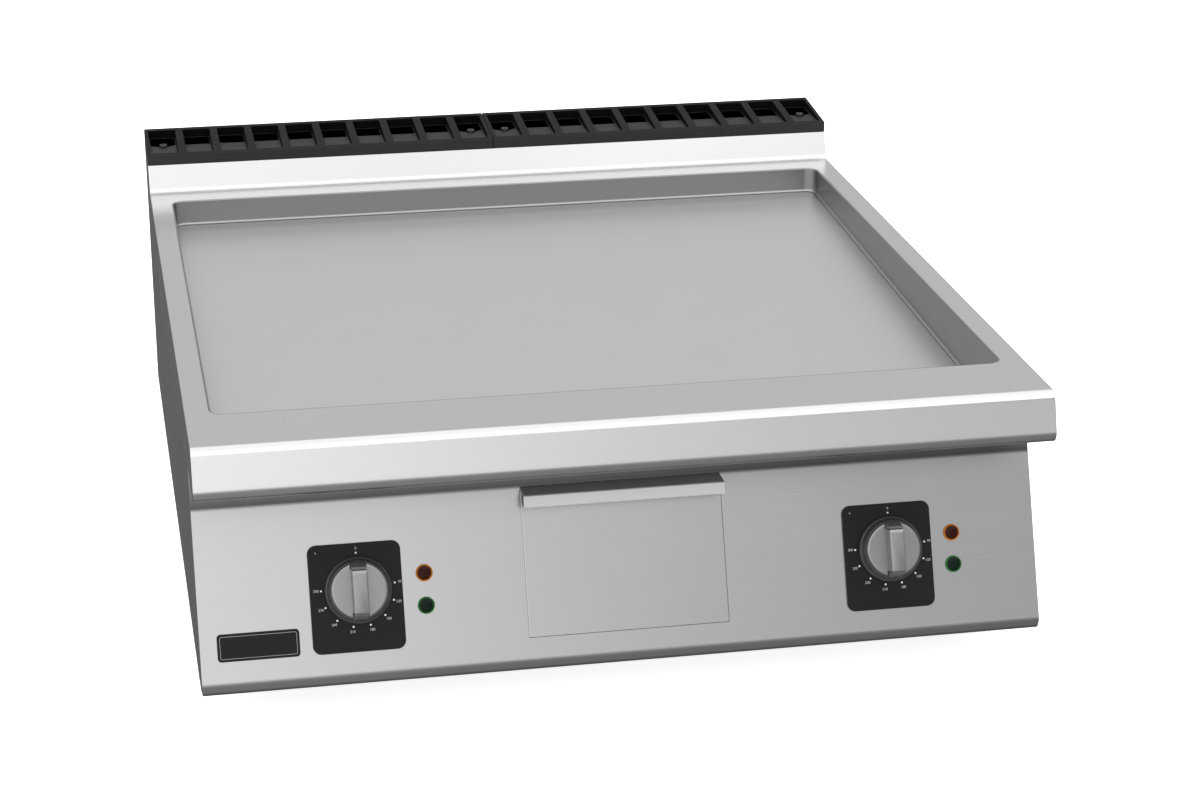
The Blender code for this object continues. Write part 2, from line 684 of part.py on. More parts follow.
# ---- Controls -----------------------------------------------------------------------------
def make_dial_plate(side, name):
    """Rounded black plate behind the knob."""
    width, height, thick = DIAL_PLATE
    loops = [rounded_rect(width, height, DIAL_PLATE_R, (0.0, DIAL_PLATE_UP - DIAL_UP)),
             circle(0.0055, (KNOB_X_OFFSET, 0.0), 20)]
    outline(f"dial_plate_{name}", "black_plastic", loops, thick,
            panel_frame(side * DIAL_X, DIAL_UP, GAP))


def make_knob(side, name):
    """Black knob body with wedge ends, silver cap with the grip, and the thermostat shaft."""
    base = DIAL_PLATE[2] + 2 * GAP
    place = panel_frame(side * DIAL_X + KNOB_X_OFFSET, DIAL_UP, base)
    profile = [(0.0, KNOB_SKIRT_H), (KNOB_R - 0.0035, KNOB_SKIRT_H), (KNOB_R - 0.001, 0.0045),
               (KNOB_R, 0.0030), (KNOB_R, 0.0), (0.0, 0.0)]
    body = turned(f"knob_body_{name}", "black_plastic", profile, place, steps=40)
    cap_low = KNOB_SKIRT_H + GAP
    ends = bmesh.new()
    half = GRIP_W / 2
    for way in (-1, 1):
        verts = block(ends, (-half, 0.0, 0.002), (half, 1.0, GRIP_TOP - 0.001))
        for vert in verts:
            outer = vert.co.y > 0.5
            high = vert.co.z > 0.010
            reach = (KNOB_R - 0.0010 if not high else GRIP_L / 2 + 0.0025) if outer \
                else GRIP_L / 2 + GAP
            vert.co.y = way * reach
        if way < 0:
            bmesh.ops.reverse_faces(ends, faces=list({f for v in verts for f in v.link_faces}))
    combine(body, cutter(f"knob_ends_{name}", ends, place), "UNION")
    bore = bmesh.new()
    rod(bore, SHAFT_R + GAP, -0.005, KNOB_SKIRT_H - 0.0015, segments=16)
    combine(body, cutter(f"knob_bore_{name}", bore, place), "DIFFERENCE")

    cap = solid(f"knob_cap_{name}", "silver_plastic", lambda bm: rod(
        bm, KNOB_CAP_R, cap_low, cap_low + KNOB_CAP_T, segments=48), place)
    notch = bmesh.new()
    for way in (-1, 1):
        low_y, high_y = sorted((way * (GRIP_L / 2 - 0.001), way * 0.05))
        block(notch, (-half - GAP, low_y, 0.0), (half + GAP, high_y, 0.05))
    combine(cap, cutter(f"cap_notches_{name}", notch, place), "DIFFERENCE")
    grip = bmesh.new()
    block(grip, (-half, -GRIP_L / 2, cap_low), (half, GRIP_L / 2, GRIP_TOP))
    combine(cap, cutter(f"cap_grip_{name}", grip, place), "UNION")

    solid(f"thermostat_shaft_{name}", "zinc", lambda bm: rod(
        bm, SHAFT_R, -0.0155, KNOB_SKIRT_H - 0.0025, segments=16), place)


def make_thermostat(side, name):
    """Thermostat body behind the panel, with its capillary and bulb under the plate."""
    place = panel_frame(side * DIAL_X + KNOB_X_OFFSET, DIAL_UP, -SHEET - GAP)
    made = solid(f"thermostat_{name}", "grey_plastic", lambda bm: round_block(
        bm, (-0.024, -0.024, -0.036), (0.024, 0.024, -0.001), 0.005, 3), place)
    bore = bmesh.new()
    rod(bore, SHAFT_R + GAP, -0.014, 0.01, segments=16)
    combine(made, cutter(f"thermostat_bore_{name}", bore, place), "DIFFERENCE")

    turn = plate_frame()
    start = place @ Vector((side * 0.012, 0.0, -0.0365))
    x = side * ZONE_X
    low = turn @ Vector((x, 0.040, ELEMENT_Z - 0.060))
    high = turn @ Vector((x, 0.040, ELEMENT_Z + 0.0005))
    far = turn @ Vector((x, 0.480, ELEMENT_Z + 0.0005))
    out = start + (place.to_3x3() @ Vector((0.0, 0.0, -1.0))) * 0.020
    route = [start, *bend(start, out, low, 0.008), *bend(out, low, high, 0.008),
             *bend(low, high, far, 0.010), turn @ Vector((x, 0.330, ELEMENT_Z + 0.0005)),
             turn @ Vector((x, 0.345, ELEMENT_Z + 0.0005)), far]
    swell = [1.0] * (len(route) - 2) + [BULB_R / CAPILLARY_R] * 2
    tube(f"thermostat_bulb_{name}", "copper", route, CAPILLARY_R, swell=swell)


def make_lamps(side, name):
    """Domed indicator lenses in front of the panel and their holders behind it."""
    for colour, up in LAMP_UPS.items():
        place = panel_frame(side * DIAL_X + LAMP_X_OFFSET, up, GAP)
        profile = [(0.0, 0.0026), (LAMP_R * 0.55, 0.0022), (LAMP_R * 0.88, 0.0012), (LAMP_R, 0.0004),
                   (LAMP_R, 0.0), (LAMP_NECK_R, 0.0), (LAMP_NECK_R, -0.009), (0.0, -0.009)]
        turned(f"lamp_{colour}_{name}", f"{colour}_lens", profile, place, steps=24)
        back = -SHEET - 2 * GAP
        holder = solid(f"lamp_holder_{colour}_{name}", "black_plastic", lambda bm: rod(
            bm, LAMP_R - 0.0005, back - 0.024, back, segments=20), place)
        socket = bmesh.new()
        rod(socket, LAMP_NECK_R + GAP, -0.010, 0.01, segments=20)
        combine(holder, cutter(f"lamp_socket_{colour}_{name}", socket, place), "DIFFERENCE")


def make_badge():
    """Plain rounded plate low on the left."""
    outline("badge_plate", "black_plastic", [rounded_rect(BADGE[0], BADGE[1], BADGE_R)],
            BADGE[2], panel_frame(*BADGE_AT, GAP))


# ---- Grease drawer ------------------------------------------------------------------------
def make_drawer():
    """Inclined front flush with the panel, pull lip on its top edge, and the grease box."""
    solid("drawer_front", "stainless", lambda bm: block(
        bm, (-DRAWER_HALF_W, DRAWER_LOW, -SHEET), (DRAWER_HALF_W, DRAWER_HIGH - 0.0045, 0.0)),
        panel_frame())

    root = panel_frame(up=DRAWER_HIGH - 0.0040).translation
    top = root.z + 0.0030
    lip_y = root.y - HANDLE_REACH
    foot_y = lip_y - HANDLE_LIP * math.sin(PANEL_TILT)
    foot_z = top - HANDLE_LIP * math.cos(PANEL_TILT)
    corners = [(root.y + 0.014, top), (lip_y, top), (foot_y, foot_z), (foot_y + 0.004, foot_z)]
    profile = fillet(corners, [0.0, 0.0018, 0.0014, 0.0], steps=4)
    strip("drawer_handle", "stainless", profile[::-1], DRAWER_HALF_W, DRAWER_SHEET)

    behind = 0.006
    bm = bmesh.new()
    verts = block(bm, (-BOX_HALF_W, FRONT_Y, BOX_FLOOR_Z), (BOX_HALF_W, BOX_BACK_Y, BOX_RIM_Z))
    for vert in verts:
        if vert.co.y < BOX_BACK_Y - 0.001:
            vert.co.y = panel_y(vert.co.z) + behind
    lids = [f for f in bm.faces if f.normal.z > 0.9]
    bmesh.ops.delete(bm, geom=lids, context="FACES_ONLY")
    made = put("drawer_box", mesh_of(bm), "stainless")
    thicken(made, DRAWER_SHEET)


def make_runners():
    """Z-section rails on the base tray that carry the grease box."""
    ledge = BOX_FLOOR_Z - GAP
    front = PANEL_SOLE_Y + 0.014
    foot = TRAY_TOP + GAP + SHEET
    corners = [(RUNNER_WEB_X + 0.018, foot), (RUNNER_WEB_X, foot), (RUNNER_WEB_X, ledge),
               (RUNNER_WEB_X - 0.022, ledge)]
    for side, name in SIDES:
        bm = bmesh.new()
        rows = [[bm.verts.new((side * x, y, z)) for y in (front, BOX_BACK_Y)] for x, z in corners]
        for low, high in zip(rows, rows[1:]):
            bm.faces.new((low[0], low[1], high[1], high[0]))
        bmesh.ops.recalc_face_normals(bm, faces=bm.faces)
        shelf = max(bm.faces, key=lambda f: f.calc_center_median().z)
        if shelf.normal.z < 0:
            bmesh.ops.reverse_faces(bm, faces=bm.faces)
        made = put(f"drawer_runner_{name}", mesh_of(bm), "galvanised")
        thicken(made, SHEET)


# ---- Electrical parts and feet ------------------------------------------------------------
def make_electrics():
    """Terminal block, contactor and safety cut-out on the base tray, and the cable gland."""
    floor = TRAY_TOP + GAP

    def stepped(name, finish, at, size, ridge):
        """A block at a corner point, with a narrower ridge joined on its top."""
        made = solid(name, finish, lambda bm: block(bm, at, [a + b for a, b in zip(at, size)]))
        tool = bmesh.new()
        block(tool, *([a + b for a, b in zip(at, end)] for end in ridge))
        combine(made, cutter(f"{name}_ridge", tool), "UNION")

    stepped("terminal_block", "grey_plastic", (0.180, REAR_Y - 0.170, floor),
            (0.090, 0.034, 0.018), ((0.004, 0.009, 0.010), (0.086, 0.025, 0.034)))
    stepped("contactor", "grey_plastic", (-0.060, CONTACTOR_Y, floor),
            (0.060, 0.080, 0.050), ((0.006, 0.018, 0.040), (0.054, 0.062, 0.078)))

    at = (-0.280, REAR_Y - 0.180, floor)
    width = 0.046
    middle = (at[0] + width / 2, at[1] + width / 2)
    made = solid("safety_cutout", "black_plastic", lambda bm: block(
        bm, at, (at[0] + width, at[1] + width, floor + 0.030)))
    tool = bmesh.new()
    rod(tool, 0.008, floor + 0.025, floor + 0.040, middle, 20)
    combine(made, cutter("cutout_collar", tool), "UNION")
    tool = bmesh.new()
    rod(tool, RESET_R + GAP, floor + 0.030, floor + 0.060, middle, 20)
    combine(made, cutter("cutout_bore", tool), "DIFFERENCE")
    solid("reset_button", "red_plastic", lambda bm: rod(
        bm, RESET_R, -0.009, 0.0, segments=20), Matrix.Translation((*middle, floor + 0.042)))

    bore, low = 0.0065, -0.018
    profile = [(bore, 0.014), (GLAND_R, 0.014), (GLAND_R, -GAP), (GLAND_R + 0.005, -GAP),
               (GLAND_R + 0.005, low * 0.5), (GLAND_R, low), (bore, low)]
    turned("cable_gland", "black_plastic", profile,
           Matrix.Translation((*GLAND_AT, TRAY_Z)), steps=24, closed=True)


def make_looms():
    """Wiring bundles along the tray, from the contactor to the two thermostats."""
    low = TRAY_TOP + LOOM_R + 0.001
    for side, name in SIDES:
        start = Vector((-0.030 + side * 0.012, CONTACTOR_Y - GAP, low + 0.020))
        first = start - Vector((0.0, 0.030, 0.0))
        drop = Vector((first.x, first.y, low))
        turn = Vector((first.x, first.y - 0.060, low))
        across = Vector((side * 0.205, turn.y, low))
        place = panel_frame(side * DIAL_X + KNOB_X_OFFSET, DIAL_UP, -SHEET - GAP)
        end = place @ Vector((-side * 0.010, -0.010, -0.0365))
        back = place @ Vector((-side * 0.010, -0.010, -0.0365 - 0.030))
        rise = Vector((across.x, back.y + 0.040, low))
        lift = Vector((end.x, back.y, low + 0.012))
        stops = [start, first, drop, turn, across, rise, lift, back, end]
        route = [start]
        for before, corner, after in zip(stops, stops[1:], stops[2:]):
            reach = min((corner - before).length, (after - corner).length) * 0.45
            half = (before - corner).angle(after - corner) / 2
            route += bend(before, corner, after, min(0.012, reach * math.tan(half)), 4)
        tube(f"wiring_loom_{name}", "black_plastic", route + [end], LOOM_R)


def make_feet():
    """Screw-in feet: rubber-soled pad and stem."""
    collar = TRAY_Z - GAP
    profile = [(0.0, collar + 0.026), (FOOT_STEM_R, collar + 0.026), (FOOT_STEM_R, collar),
               (0.011, collar), (0.011, collar - 0.010), (FOOT_PAD_R - 0.004, 0.0115),
               (FOOT_PAD_R, 0.0060), (FOOT_PAD_R, 0.0), (0.0, 0.0)]
    for x, across in ((-FOOT_X, "left"), (FOOT_X, "right")):
        for y, along in ((FOOT_FRONT_Y, "front"), (FOOT_REAR_Y, "rear")):
            turned(f"foot_{along}_{across}", "rubber", profile,
                   Matrix.Translation((x, y, 0.0)), steps=24)


# ---- Assembly -----------------------------------------------------------------------------
make_worktop()
make_recess_collar()
make_cooking_plate()
make_drain_spout()
make_plate_stack()
make_front_panel()
make_side_panels()
make_rear_panel()
make_base_tray()
for number, hand in SIDES:
    make_grille_screws(make_grille(number, hand), hand)
    make_dial_plate(number, hand)
    make_knob(number, hand)
    make_thermostat(number, hand)
    make_lamps(number, hand)
make_badge()
make_drawer()
make_runners()
make_electrics()
make_looms()
make_feet()
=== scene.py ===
"""Looks of the counter-top flat top griddle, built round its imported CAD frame.

Metres, +Z up, front towards -Y: the frame's own coordinates.  Sheet metal, castings, knobs and
lamps are rebuilt with fine edges in the places that the CAD gives them.  Inner pieces keep their
CAD shape and get a finish.
"""
import math

import bmesh
import bpy
from mathutils import Matrix, Vector


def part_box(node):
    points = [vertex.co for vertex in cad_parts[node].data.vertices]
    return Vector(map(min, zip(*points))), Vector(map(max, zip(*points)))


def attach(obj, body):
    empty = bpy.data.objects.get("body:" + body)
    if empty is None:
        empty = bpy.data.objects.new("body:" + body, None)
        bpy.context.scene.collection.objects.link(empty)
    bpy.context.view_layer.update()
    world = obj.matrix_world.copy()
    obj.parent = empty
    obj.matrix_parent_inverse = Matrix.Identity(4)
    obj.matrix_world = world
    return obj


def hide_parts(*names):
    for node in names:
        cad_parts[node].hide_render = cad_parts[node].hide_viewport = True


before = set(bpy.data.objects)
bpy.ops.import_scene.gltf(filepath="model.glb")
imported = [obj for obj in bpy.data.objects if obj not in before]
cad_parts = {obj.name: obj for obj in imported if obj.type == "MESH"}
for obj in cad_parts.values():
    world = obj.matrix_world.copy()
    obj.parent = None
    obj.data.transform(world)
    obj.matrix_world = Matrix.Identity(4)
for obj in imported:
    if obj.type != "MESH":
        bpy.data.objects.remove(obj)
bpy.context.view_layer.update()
scene = bpy.context.scene
scene.view_settings.view_transform = "Standard"

# ---- Sizes shared with the CAD ------------------------------------------------------------
SIDES = ((-1, "left"), (1, "right"))
GAP = 0.0003
SHEET = 0.0015
TOP_SHEET = 0.0020
WORKTOP_Z = 0.290
BODY_Z = 0.033
HALF_W = 0.400
FRONT_Y = -0.465
REAR_Y = 0.465
BACK_SHEET_Y = REAR_Y - 0.0020
CASING_BACK_Y = BACK_SHEET_Y - SHEET - GAP

APRON_Z = WORKTOP_Z - 0.0485
APRON_TOP_SETBACK = 0.0109
APRON_FOOT_SETBACK = -0.0032
APRON_BEND_R = 0.0095
APRON_ROLL_R = 0.0096
APRON_RETURN = 0.0955
COVE_R = 0.007
UPSTAND_Y = FRONT_Y + 0.840
UPSTAND_LEAN = 0.0115
UPSTAND_Z = WORKTOP_Z + 0.0303

GRILLE_FRONT_Z = WORKTOP_Z + 0.0422
GRILLE_REAR_Z = WORKTOP_Z + 0.0499
GRILLE_LEDGE_Z = GRILLE_FRONT_Z - 0.0025
GRILLE_CELLS = 10
GRILLE_BAR = 0.0085
GRILLE_LEDGE = 0.043
GRILLE_STEP = 0.002
GRILLE_CELL_FRONT_Y = UPSTAND_Y + 0.006
GRILLE_CELL_BACK_Y = REAR_Y - 0.008
GRILLE_SCREW_Y = GRILLE_CELL_FRONT_Y + 0.037

RECESS_HALF_W = HALF_W - 0.0242
RECESS_FRONT_Y = FRONT_Y + 0.0976
RECESS_REAR_Y = FRONT_Y + 0.7924
RECESS_R = 0.013
PLATE_FRONT_Z = WORKTOP_Z - 0.0515
PLATE_REAR_Z = WORKTOP_Z - 0.0280
PLATE_T = 0.015
PLATE_EDGE_GAP = 0.0009
PLATE_SLOPE = math.atan((PLATE_REAR_Z - PLATE_FRONT_Z) / (RECESS_REAR_Y - RECESS_FRONT_Y))
DRAIN_Y = FRONT_Y + 0.140
DRAIN_R = 0.021

PANEL_TILT = math.radians(20.9)
PANEL_FOOT = Vector((0.0, FRONT_Y + 0.0181, BODY_Z + 0.020))
PANEL_ROLL_R = 0.012
PANEL_CORNER_Z = BODY_Z + 0.012
PANEL_SOLE_Y = FRONT_Y + 0.0543
PANEL_SOLE_L = 0.025
PANEL_SOLE_INSET = 0.0045
DIAL_X = 0.254
DIAL_UP = 0.0796
KNOB_X_OFFSET = 0.0018
DIAL_PLATE = (0.0860, 0.1005, 0.0025)
DIAL_PLATE_UP = 0.0727
DIAL_PLATE_R = 0.008
SHAFT_HOLE_R = 0.006
DIAL_BORE_R = 0.0055
KNOB_BORE_R = 0.0033
KNOB_R = 0.031
KNOB_CAP_R = 0.026
KNOB_SKIRT_H = 0.0105
KNOB_CAP_T = 0.0030
GRIP_W = 0.0140
GRIP_L = 0.0420
GRIP_TOP = 0.0280
LAMP_X_OFFSET = 0.0640
LAMP_UPS = {"amber": 0.0905, "green": 0.0603}
LAMP_R = 0.008
LAMP_NECK_R = 0.0055
BADGE = (0.0755, 0.0255, 0.0015)
BADGE_AT = (-0.3465, 0.0355)
BADGE_R = 0.0035
DRAWER_HALF_W = 0.0955
DRAWER_LOW = 0.0225
DRAWER_HIGH = 0.1635
HANDLE_REACH = 0.0200
HANDLE_LIP = 0.0120
DRAWER_SHEET = 0.0012
FOOT_PAD_R = 0.024
FOOT_STEM_R = 0.005
TRAY_Z = BODY_Z + SHEET + GAP

# ---- Sizes of the finer shapes ------------------------------------------------------------
EDGE_R = 0.0004               # broken edge of a sheet
HOLD = 0.0020                 # extra row beside a bend, which keeps the flat flat
FLARE_R = 0.0016              # polished weld between the worktop and the recess wall
BEAD_R = 0.0028               # fillet between the recess wall and the plate
PRINT_T = 0.00006
MARK_R = 0.0343               # ring of dots round the knob
MARK_TEXT_R = 0.0390
MARK_DEGREES = tuple(range(83, 273, 27))
MARK_TEXTS = ("90", "120", "150", "180", "210", "240", "270", "300")
MARK_DOT_R = 0.00085
MARK_SIZE = 0.0034            # height of the printed numbers
ZERO_TEXT_R = 0.0384
DEGREE_SIZE = 0.0050          # bare degree sign in the dial's corner
DEGREE_INSET = (0.0075, 0.0085)
SEAM = 0.0002                 # visible joint round the drawer front
PULL_RETURN = 0.004           # return at the foot of the drawer's pull lip
REAR_SCREW_XS = (-0.385, -0.192, 0.0, 0.192, 0.385)
REAR_SCREW_ZS = (BODY_Z + 0.012, 0.304)
REAR_EDGE_SCREW_ZS = (0.130, 0.215)
REAR_SCREW_HEAD = (0.0036, 0.0018)    # radius and height
GRILLE_SCREW_HEAD = (0.0048, 0.0030)
GRILLE_SCREW_SHANK = 0.016
GRILLE_SCREW_HOLE_R = 0.0023
DRAIN_CHAMFER = 0.0022
BADGE_LINE = 0.00035          # width of the badge's border
BADGE_LINE_INSET = 0.0024
STEM_PITCH = 0.0015           # thread of the feet
STEM_TURNS = 16
SHADE_FALL = (0.2035, 0.2065) # heights of the painted shade on the panel, under the apron
SHADE_RISE = (0.2075, 0.2420)
SHADE_LEVEL = 0.20
GRIP_HEAD_R = 0.0016          # depth of the rounding at the grip's upper end
GRIP_HEAD_L = 0.0045          # and its length
GRIP_HEAD_DROP = 0.0014       # the bar's upper end stands this far short of GRIP_L / 2
GRIP_HEAD_SOFT = 0.0012       # how far its long edges draw in at the top
# painted highlight on the knob: its black lightens between these heights of the wedges, by this
# gain
WEDGE_PAINTED_LIGHT = (0.0100, 0.0150, 2.3)   # heights between which a knob's black lightens, and gain


# ---- Shape helpers ------------------------------------------------------------------------
def fillet(corners, radii, steps=12, hold=0.0):
    """Round the corners of a 2-D polyline; hold adds a point that far outside each bend."""
    points = []
    for index, (corner, radius) in enumerate(zip(corners, radii)):
        here = Vector(corner)
        if radius == 0.0:
            points.append(here)
            continue
        back = (Vector(corners[index - 1]) - here).normalized()
        ahead = (Vector(corners[(index + 1) % len(corners)]) - here).normalized()
        half = back.angle(ahead) / 2
        reach = radius / math.tan(half)
        centre = here + (back + ahead).normalized() * (radius / math.sin(half))
        start = here + back * reach - centre
        sweep = start.angle_signed(here + ahead * reach - centre)
        if hold:
            points.append(here + back * (reach + hold))
        for step in range(steps + 1):
            points.append(centre + Matrix.Rotation(-sweep * step / steps, 2) @ start)
        if hold:
            points.append(here + ahead * (reach + hold))
    return points


def rect_ring(x0, x1, y0, y1, radius, z=0.0, steps=8):
    """Points of a rounded rectangle, counter-clockwise seen from above."""
    corners = [(x0, y0), (x1, y0), (x1, y1), (x0, y1)]
    return [Vector((p.x, p.y, z)) for p in fillet(corners, [max(radius, 0.00005)] * 4, steps)]


def circle_ring(radius, z, steps=64):
    """Points of a level circle."""
    turns = [math.tau * k / steps for k in range(steps)]
    return [Vector((radius * math.cos(turn), radius * math.sin(turn), z)) for turn in turns]


def loft(bm, rings, closed=False):
    """Skin rings of equal count, given up the outside; open ends are capped."""
    rows = [[bm.verts.new(point) for point in ring] for ring in rings]
    pairs = list(zip(rows, rows[1:]))
    if closed:
        pairs.append((rows[-1], rows[0]))
    for low, high in pairs:
        for here in range(len(low)):
            after = (here + 1) % len(low)
            bm.faces.new((low[here], low[after], high[after], high[here]))
    if not closed:
        bm.faces.new(rows[0][::-1])
        bm.faces.new(rows[-1])
    return [vert for row in rows for vert in row]


def turned(bm, profile, steps=64, closed=False):
    """Body of revolution from (radius, height) points going up its outside."""
    return loft(bm, [circle_ring(radius, z, steps) for radius, z in profile], closed)


def arc(centre, radius, start, stop, steps=6):
    """Points of a circular arc in 2-D, angles in degrees."""
    return [(centre[0] + radius * math.cos(math.radians(start + (stop - start) * k / steps)),
             centre[1] + radius * math.sin(math.radians(start + (stop - start) * k / steps)))
            for k in range(steps + 1)]


def block(bm, low, high):
    """Add a box between two corners."""
    size = [b - a for a, b in zip(low, high)]
    centre = [(a + b) / 2 for a, b in zip(low, high)]
    place = Matrix.Translation(centre) @ Matrix.Diagonal((*size, 1.0))
    return bmesh.ops.create_cube(bm, size=1.0, matrix=place)["verts"]


def new_object(name, bm, matrix=None):
    """Make an object from a bmesh, which is freed."""
    data = bpy.data.meshes.new(name)
    bm.to_mesh(data)
    bm.free()
    made = bpy.data.objects.new(name, data)
    scene.collection.objects.link(made)
    if matrix:
        made.matrix_world = matrix
    return made


def settle(made):
    """Replace an object's mesh with the result of its modifiers."""
    bpy.context.view_layer.update()
    found = made.evaluated_get(bpy.context.evaluated_depsgraph_get())
    data = bpy.data.meshes.new_from_object(found)
    made.modifiers.clear()
    made.data = data


def combine(made, tool_bm, operation, matrix=None):
    """Cut a bmesh from an object or join it on, and drop the tool."""
    tool = new_object("tool", tool_bm, matrix)
    step = made.modifiers.new("combine", "BOOLEAN")
    step.operation = operation
    step.solver = "EXACT"
    step.object = tool
    settle(made)
    bpy.data.objects.remove(tool, do_unlink=True)


def shade(made, angle=30.0):
    """Smooth the round faces and keep real edges sharp."""
    made.data.shade_smooth()
    made.data.set_sharp_from_angle(angle=math.radians(angle))


def break_edges(made, width=EDGE_R, segments=2, angle=35.0, merge=False):
    """Round the sharp edges a little, so that they catch light."""
    if merge:
        flat = made.modifiers.new("flatten", "DECIMATE")
        flat.decimate_type = "DISSOLVE"
        flat.angle_limit = math.radians(0.5)
    step = made.modifiers.new("edges", "BEVEL")
    step.width = width
    step.segments = segments
    step.limit_method = "ANGLE"
    step.angle_limit = math.radians(angle)
    step.harden_normals = False
    weight = made.modifiers.new("normals", "WEIGHTED_NORMAL")
    weight.keep_sharp = True


def finish_piece(made, finish, body, nodes=()):
    """Give a piece its material and its body, and hide the CAD nodes that it stands for."""
    made.data.materials.clear()
    made.data.materials.append(FINISHES[finish])
    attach(made, body)
    if nodes:
        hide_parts(*nodes)
    return made


def folded(name, profile, half_widths, thickness):
    """Sheet folded along a (y, z) profile; its outside is on the profile's left."""
    if not isinstance(half_widths, list):
        half_widths = [half_widths] * len(profile)
    bm = bmesh.new()
    rows = [[bm.verts.new((side * half, point[0], point[1])) for side in (-1, 1)]
            for point, half in zip(profile, half_widths)]
    for low, high in zip(rows, rows[1:]):
        bm.faces.new((low[0], low[1], high[1], high[0]))
    made = new_object(name, bm)
    thicken(made, thickness)
    return made


def thicken(made, thickness):
    """Give an open surface its sheet thickness, inwards."""
    step = made.modifiers.new("sheet", "SOLIDIFY")
    step.thickness = thickness
    step.offset = -1.0
    step.use_even_offset = True
    settle(made)


def on_panel(x=0.0, up=0.0, out=0.0):
    """Matrix of a place on the control panel: X across, Y up the slope, Z outwards."""
    turn = Matrix.Rotation(math.pi / 2 - PANEL_TILT, 4, "X")
    return Matrix.Translation(PANEL_FOOT) @ turn @ Matrix.Translation((x, up, out))


def panel_y(z):
    """Y of the panel's outer face at a height."""
    return PANEL_FOOT.y + (z - PANEL_FOOT.z) * math.tan(PANEL_TILT)


def plate_z(y):
    """Height of the plate's top at a depth."""
    return PLATE_FRONT_Z + (y - RECESS_FRONT_Y) * math.tan(PLATE_SLOPE)


def plate_place():
    """Matrix of the plate's top face: origin at its front edge, Y up its slope."""
    place = Matrix.Translation((0.0, RECESS_FRONT_Y, PLATE_FRONT_Z))
    return place @ Matrix.Rotation(PLATE_SLOPE, 4, "X")


# ---- Materials ----------------------------------------------------------------------------
def add(tree, kind, values=None, **settings):
    """Add a shader node with settings and unlinked input values."""
    made = tree.nodes.new(kind)
    for key, value in settings.items():
        setattr(made, key, value)
    for key, value in (values or {}).items():
        made.inputs[key].default_value = value
    return made


def new_material(name, colour, roughness, metallic=0.0, **extra):
    """Principled material with constant sockets; returns it with its tree and shader."""
    made = bpy.data.materials.new(name)
    made.use_nodes = True
    tree = made.node_tree
    shader = tree.nodes["Principled BSDF"]
    shader.inputs["Base Color"].default_value = (*colour, 1.0)
    shader.inputs["Roughness"].default_value = roughness
    shader.inputs["Metallic"].default_value = metallic
    for key, value in extra.items():
        shader.inputs[key.replace("_", " ")].default_value = value
    return made, tree, shader


def noise(tree, scale, stretch=(1.0, 1.0, 1.0), detail=4.0, rough=0.55):
    """Noise in the object's own coordinates, stretched per axis."""
    coords = add(tree, "ShaderNodeTexCoord")
    mapping = add(tree, "ShaderNodeMapping", {"Scale": stretch})
    tree.links.new(coords.outputs["Object"], mapping.inputs["Vector"])
    made = add(tree, "ShaderNodeTexNoise", {"Scale": scale, "Detail": detail, "Roughness": rough})
    tree.links.new(mapping.outputs["Vector"], made.inputs["Vector"])
    return made.outputs["Fac"]


def ranged(tree, source, low, high, start=0.3, stop=0.7):
    """Map a value from start..stop to low..high."""
    made = add(tree, "ShaderNodeMapRange", {"From Min": start, "From Max": stop, "To Min": low,
                                            "To Max": high})
    tree.links.new(source, made.inputs["Value"])
    return made.outputs["Result"]


def tinted(tree, shader, source, low, high, start=0.3, stop=0.7):
    """Vary the base colour between two colours with a value."""
    mix = add(tree, "ShaderNodeMix", data_type="RGBA")
    mix.inputs["A"].default_value = (*low, 1.0)
    mix.inputs["B"].default_value = (*high, 1.0)
    tree.links.new(ranged(tree, source, 0.0, 1.0, start, stop), mix.inputs["Factor"])
    tree.links.new(mix.outputs["Result"], shader.inputs["Base Color"])


def bumped(tree, shader, source, strength, distance):
    """Raise the surface with a value."""
    bump = add(tree, "ShaderNodeBump", {"Strength": strength, "Distance": distance})
    tree.links.new(source, bump.inputs["Height"])
    tree.links.new(bump.outputs["Normal"], shader.inputs["Normal"])


def brushed(name, colour, roughness, grain, depth=0.015, metallic=1.0):
    """Brushed sheet: hairline grain along one axis and faint wiping marks."""
    made, tree, shader = new_material(name, colour, roughness, metallic)
    stretch = [1.0 if axis == grain else 70.0 for axis in "XYZ"]
    lines = noise(tree, 22.0, stretch, 5.0, 0.7)
    smears = noise(tree, 5.0, (1.0, 1.0, 1.0), 3.0)
    total = add(tree, "ShaderNodeMath", operation="ADD")
    tree.links.new(ranged(tree, lines, roughness - 0.012, roughness + 0.012), total.inputs[0])
    tree.links.new(ranged(tree, smears, -0.010, 0.010), total.inputs[1])
    tree.links.new(total.outputs["Value"], shader.inputs["Roughness"])
    tinted(tree, shader, lines, tuple(c * 0.99 for c in colour), tuple(c * 1.01 for c in colour))
    bumped(tree, shader, lines, depth, 0.00004)
    return made


def grained(name, colour, roughness, scale, spread=0.05, depth=0.2, metallic=0.0, cloud=0.03,
            **extra):
    """Surface with a fine even texture in colour, gloss and relief."""
    made, tree, shader = new_material(name, colour, roughness, metallic, **extra)
    fine = noise(tree, scale, (1.0, 1.0, 1.0), 3.0, 0.6)
    tinted(tree, shader, fine, tuple(c * (1.0 - spread) for c in colour),
           tuple(min(1.0, c * (1.0 + spread)) for c in colour))
    broad = noise(tree, 18.0, (1.0, 1.0, 1.0), 3.0)
    uneven = ranged(tree, broad, roughness - cloud, roughness + cloud)
    tree.links.new(uneven, shader.inputs["Roughness"])
    bumped(tree, shader, fine, depth, 0.00005)
    return made


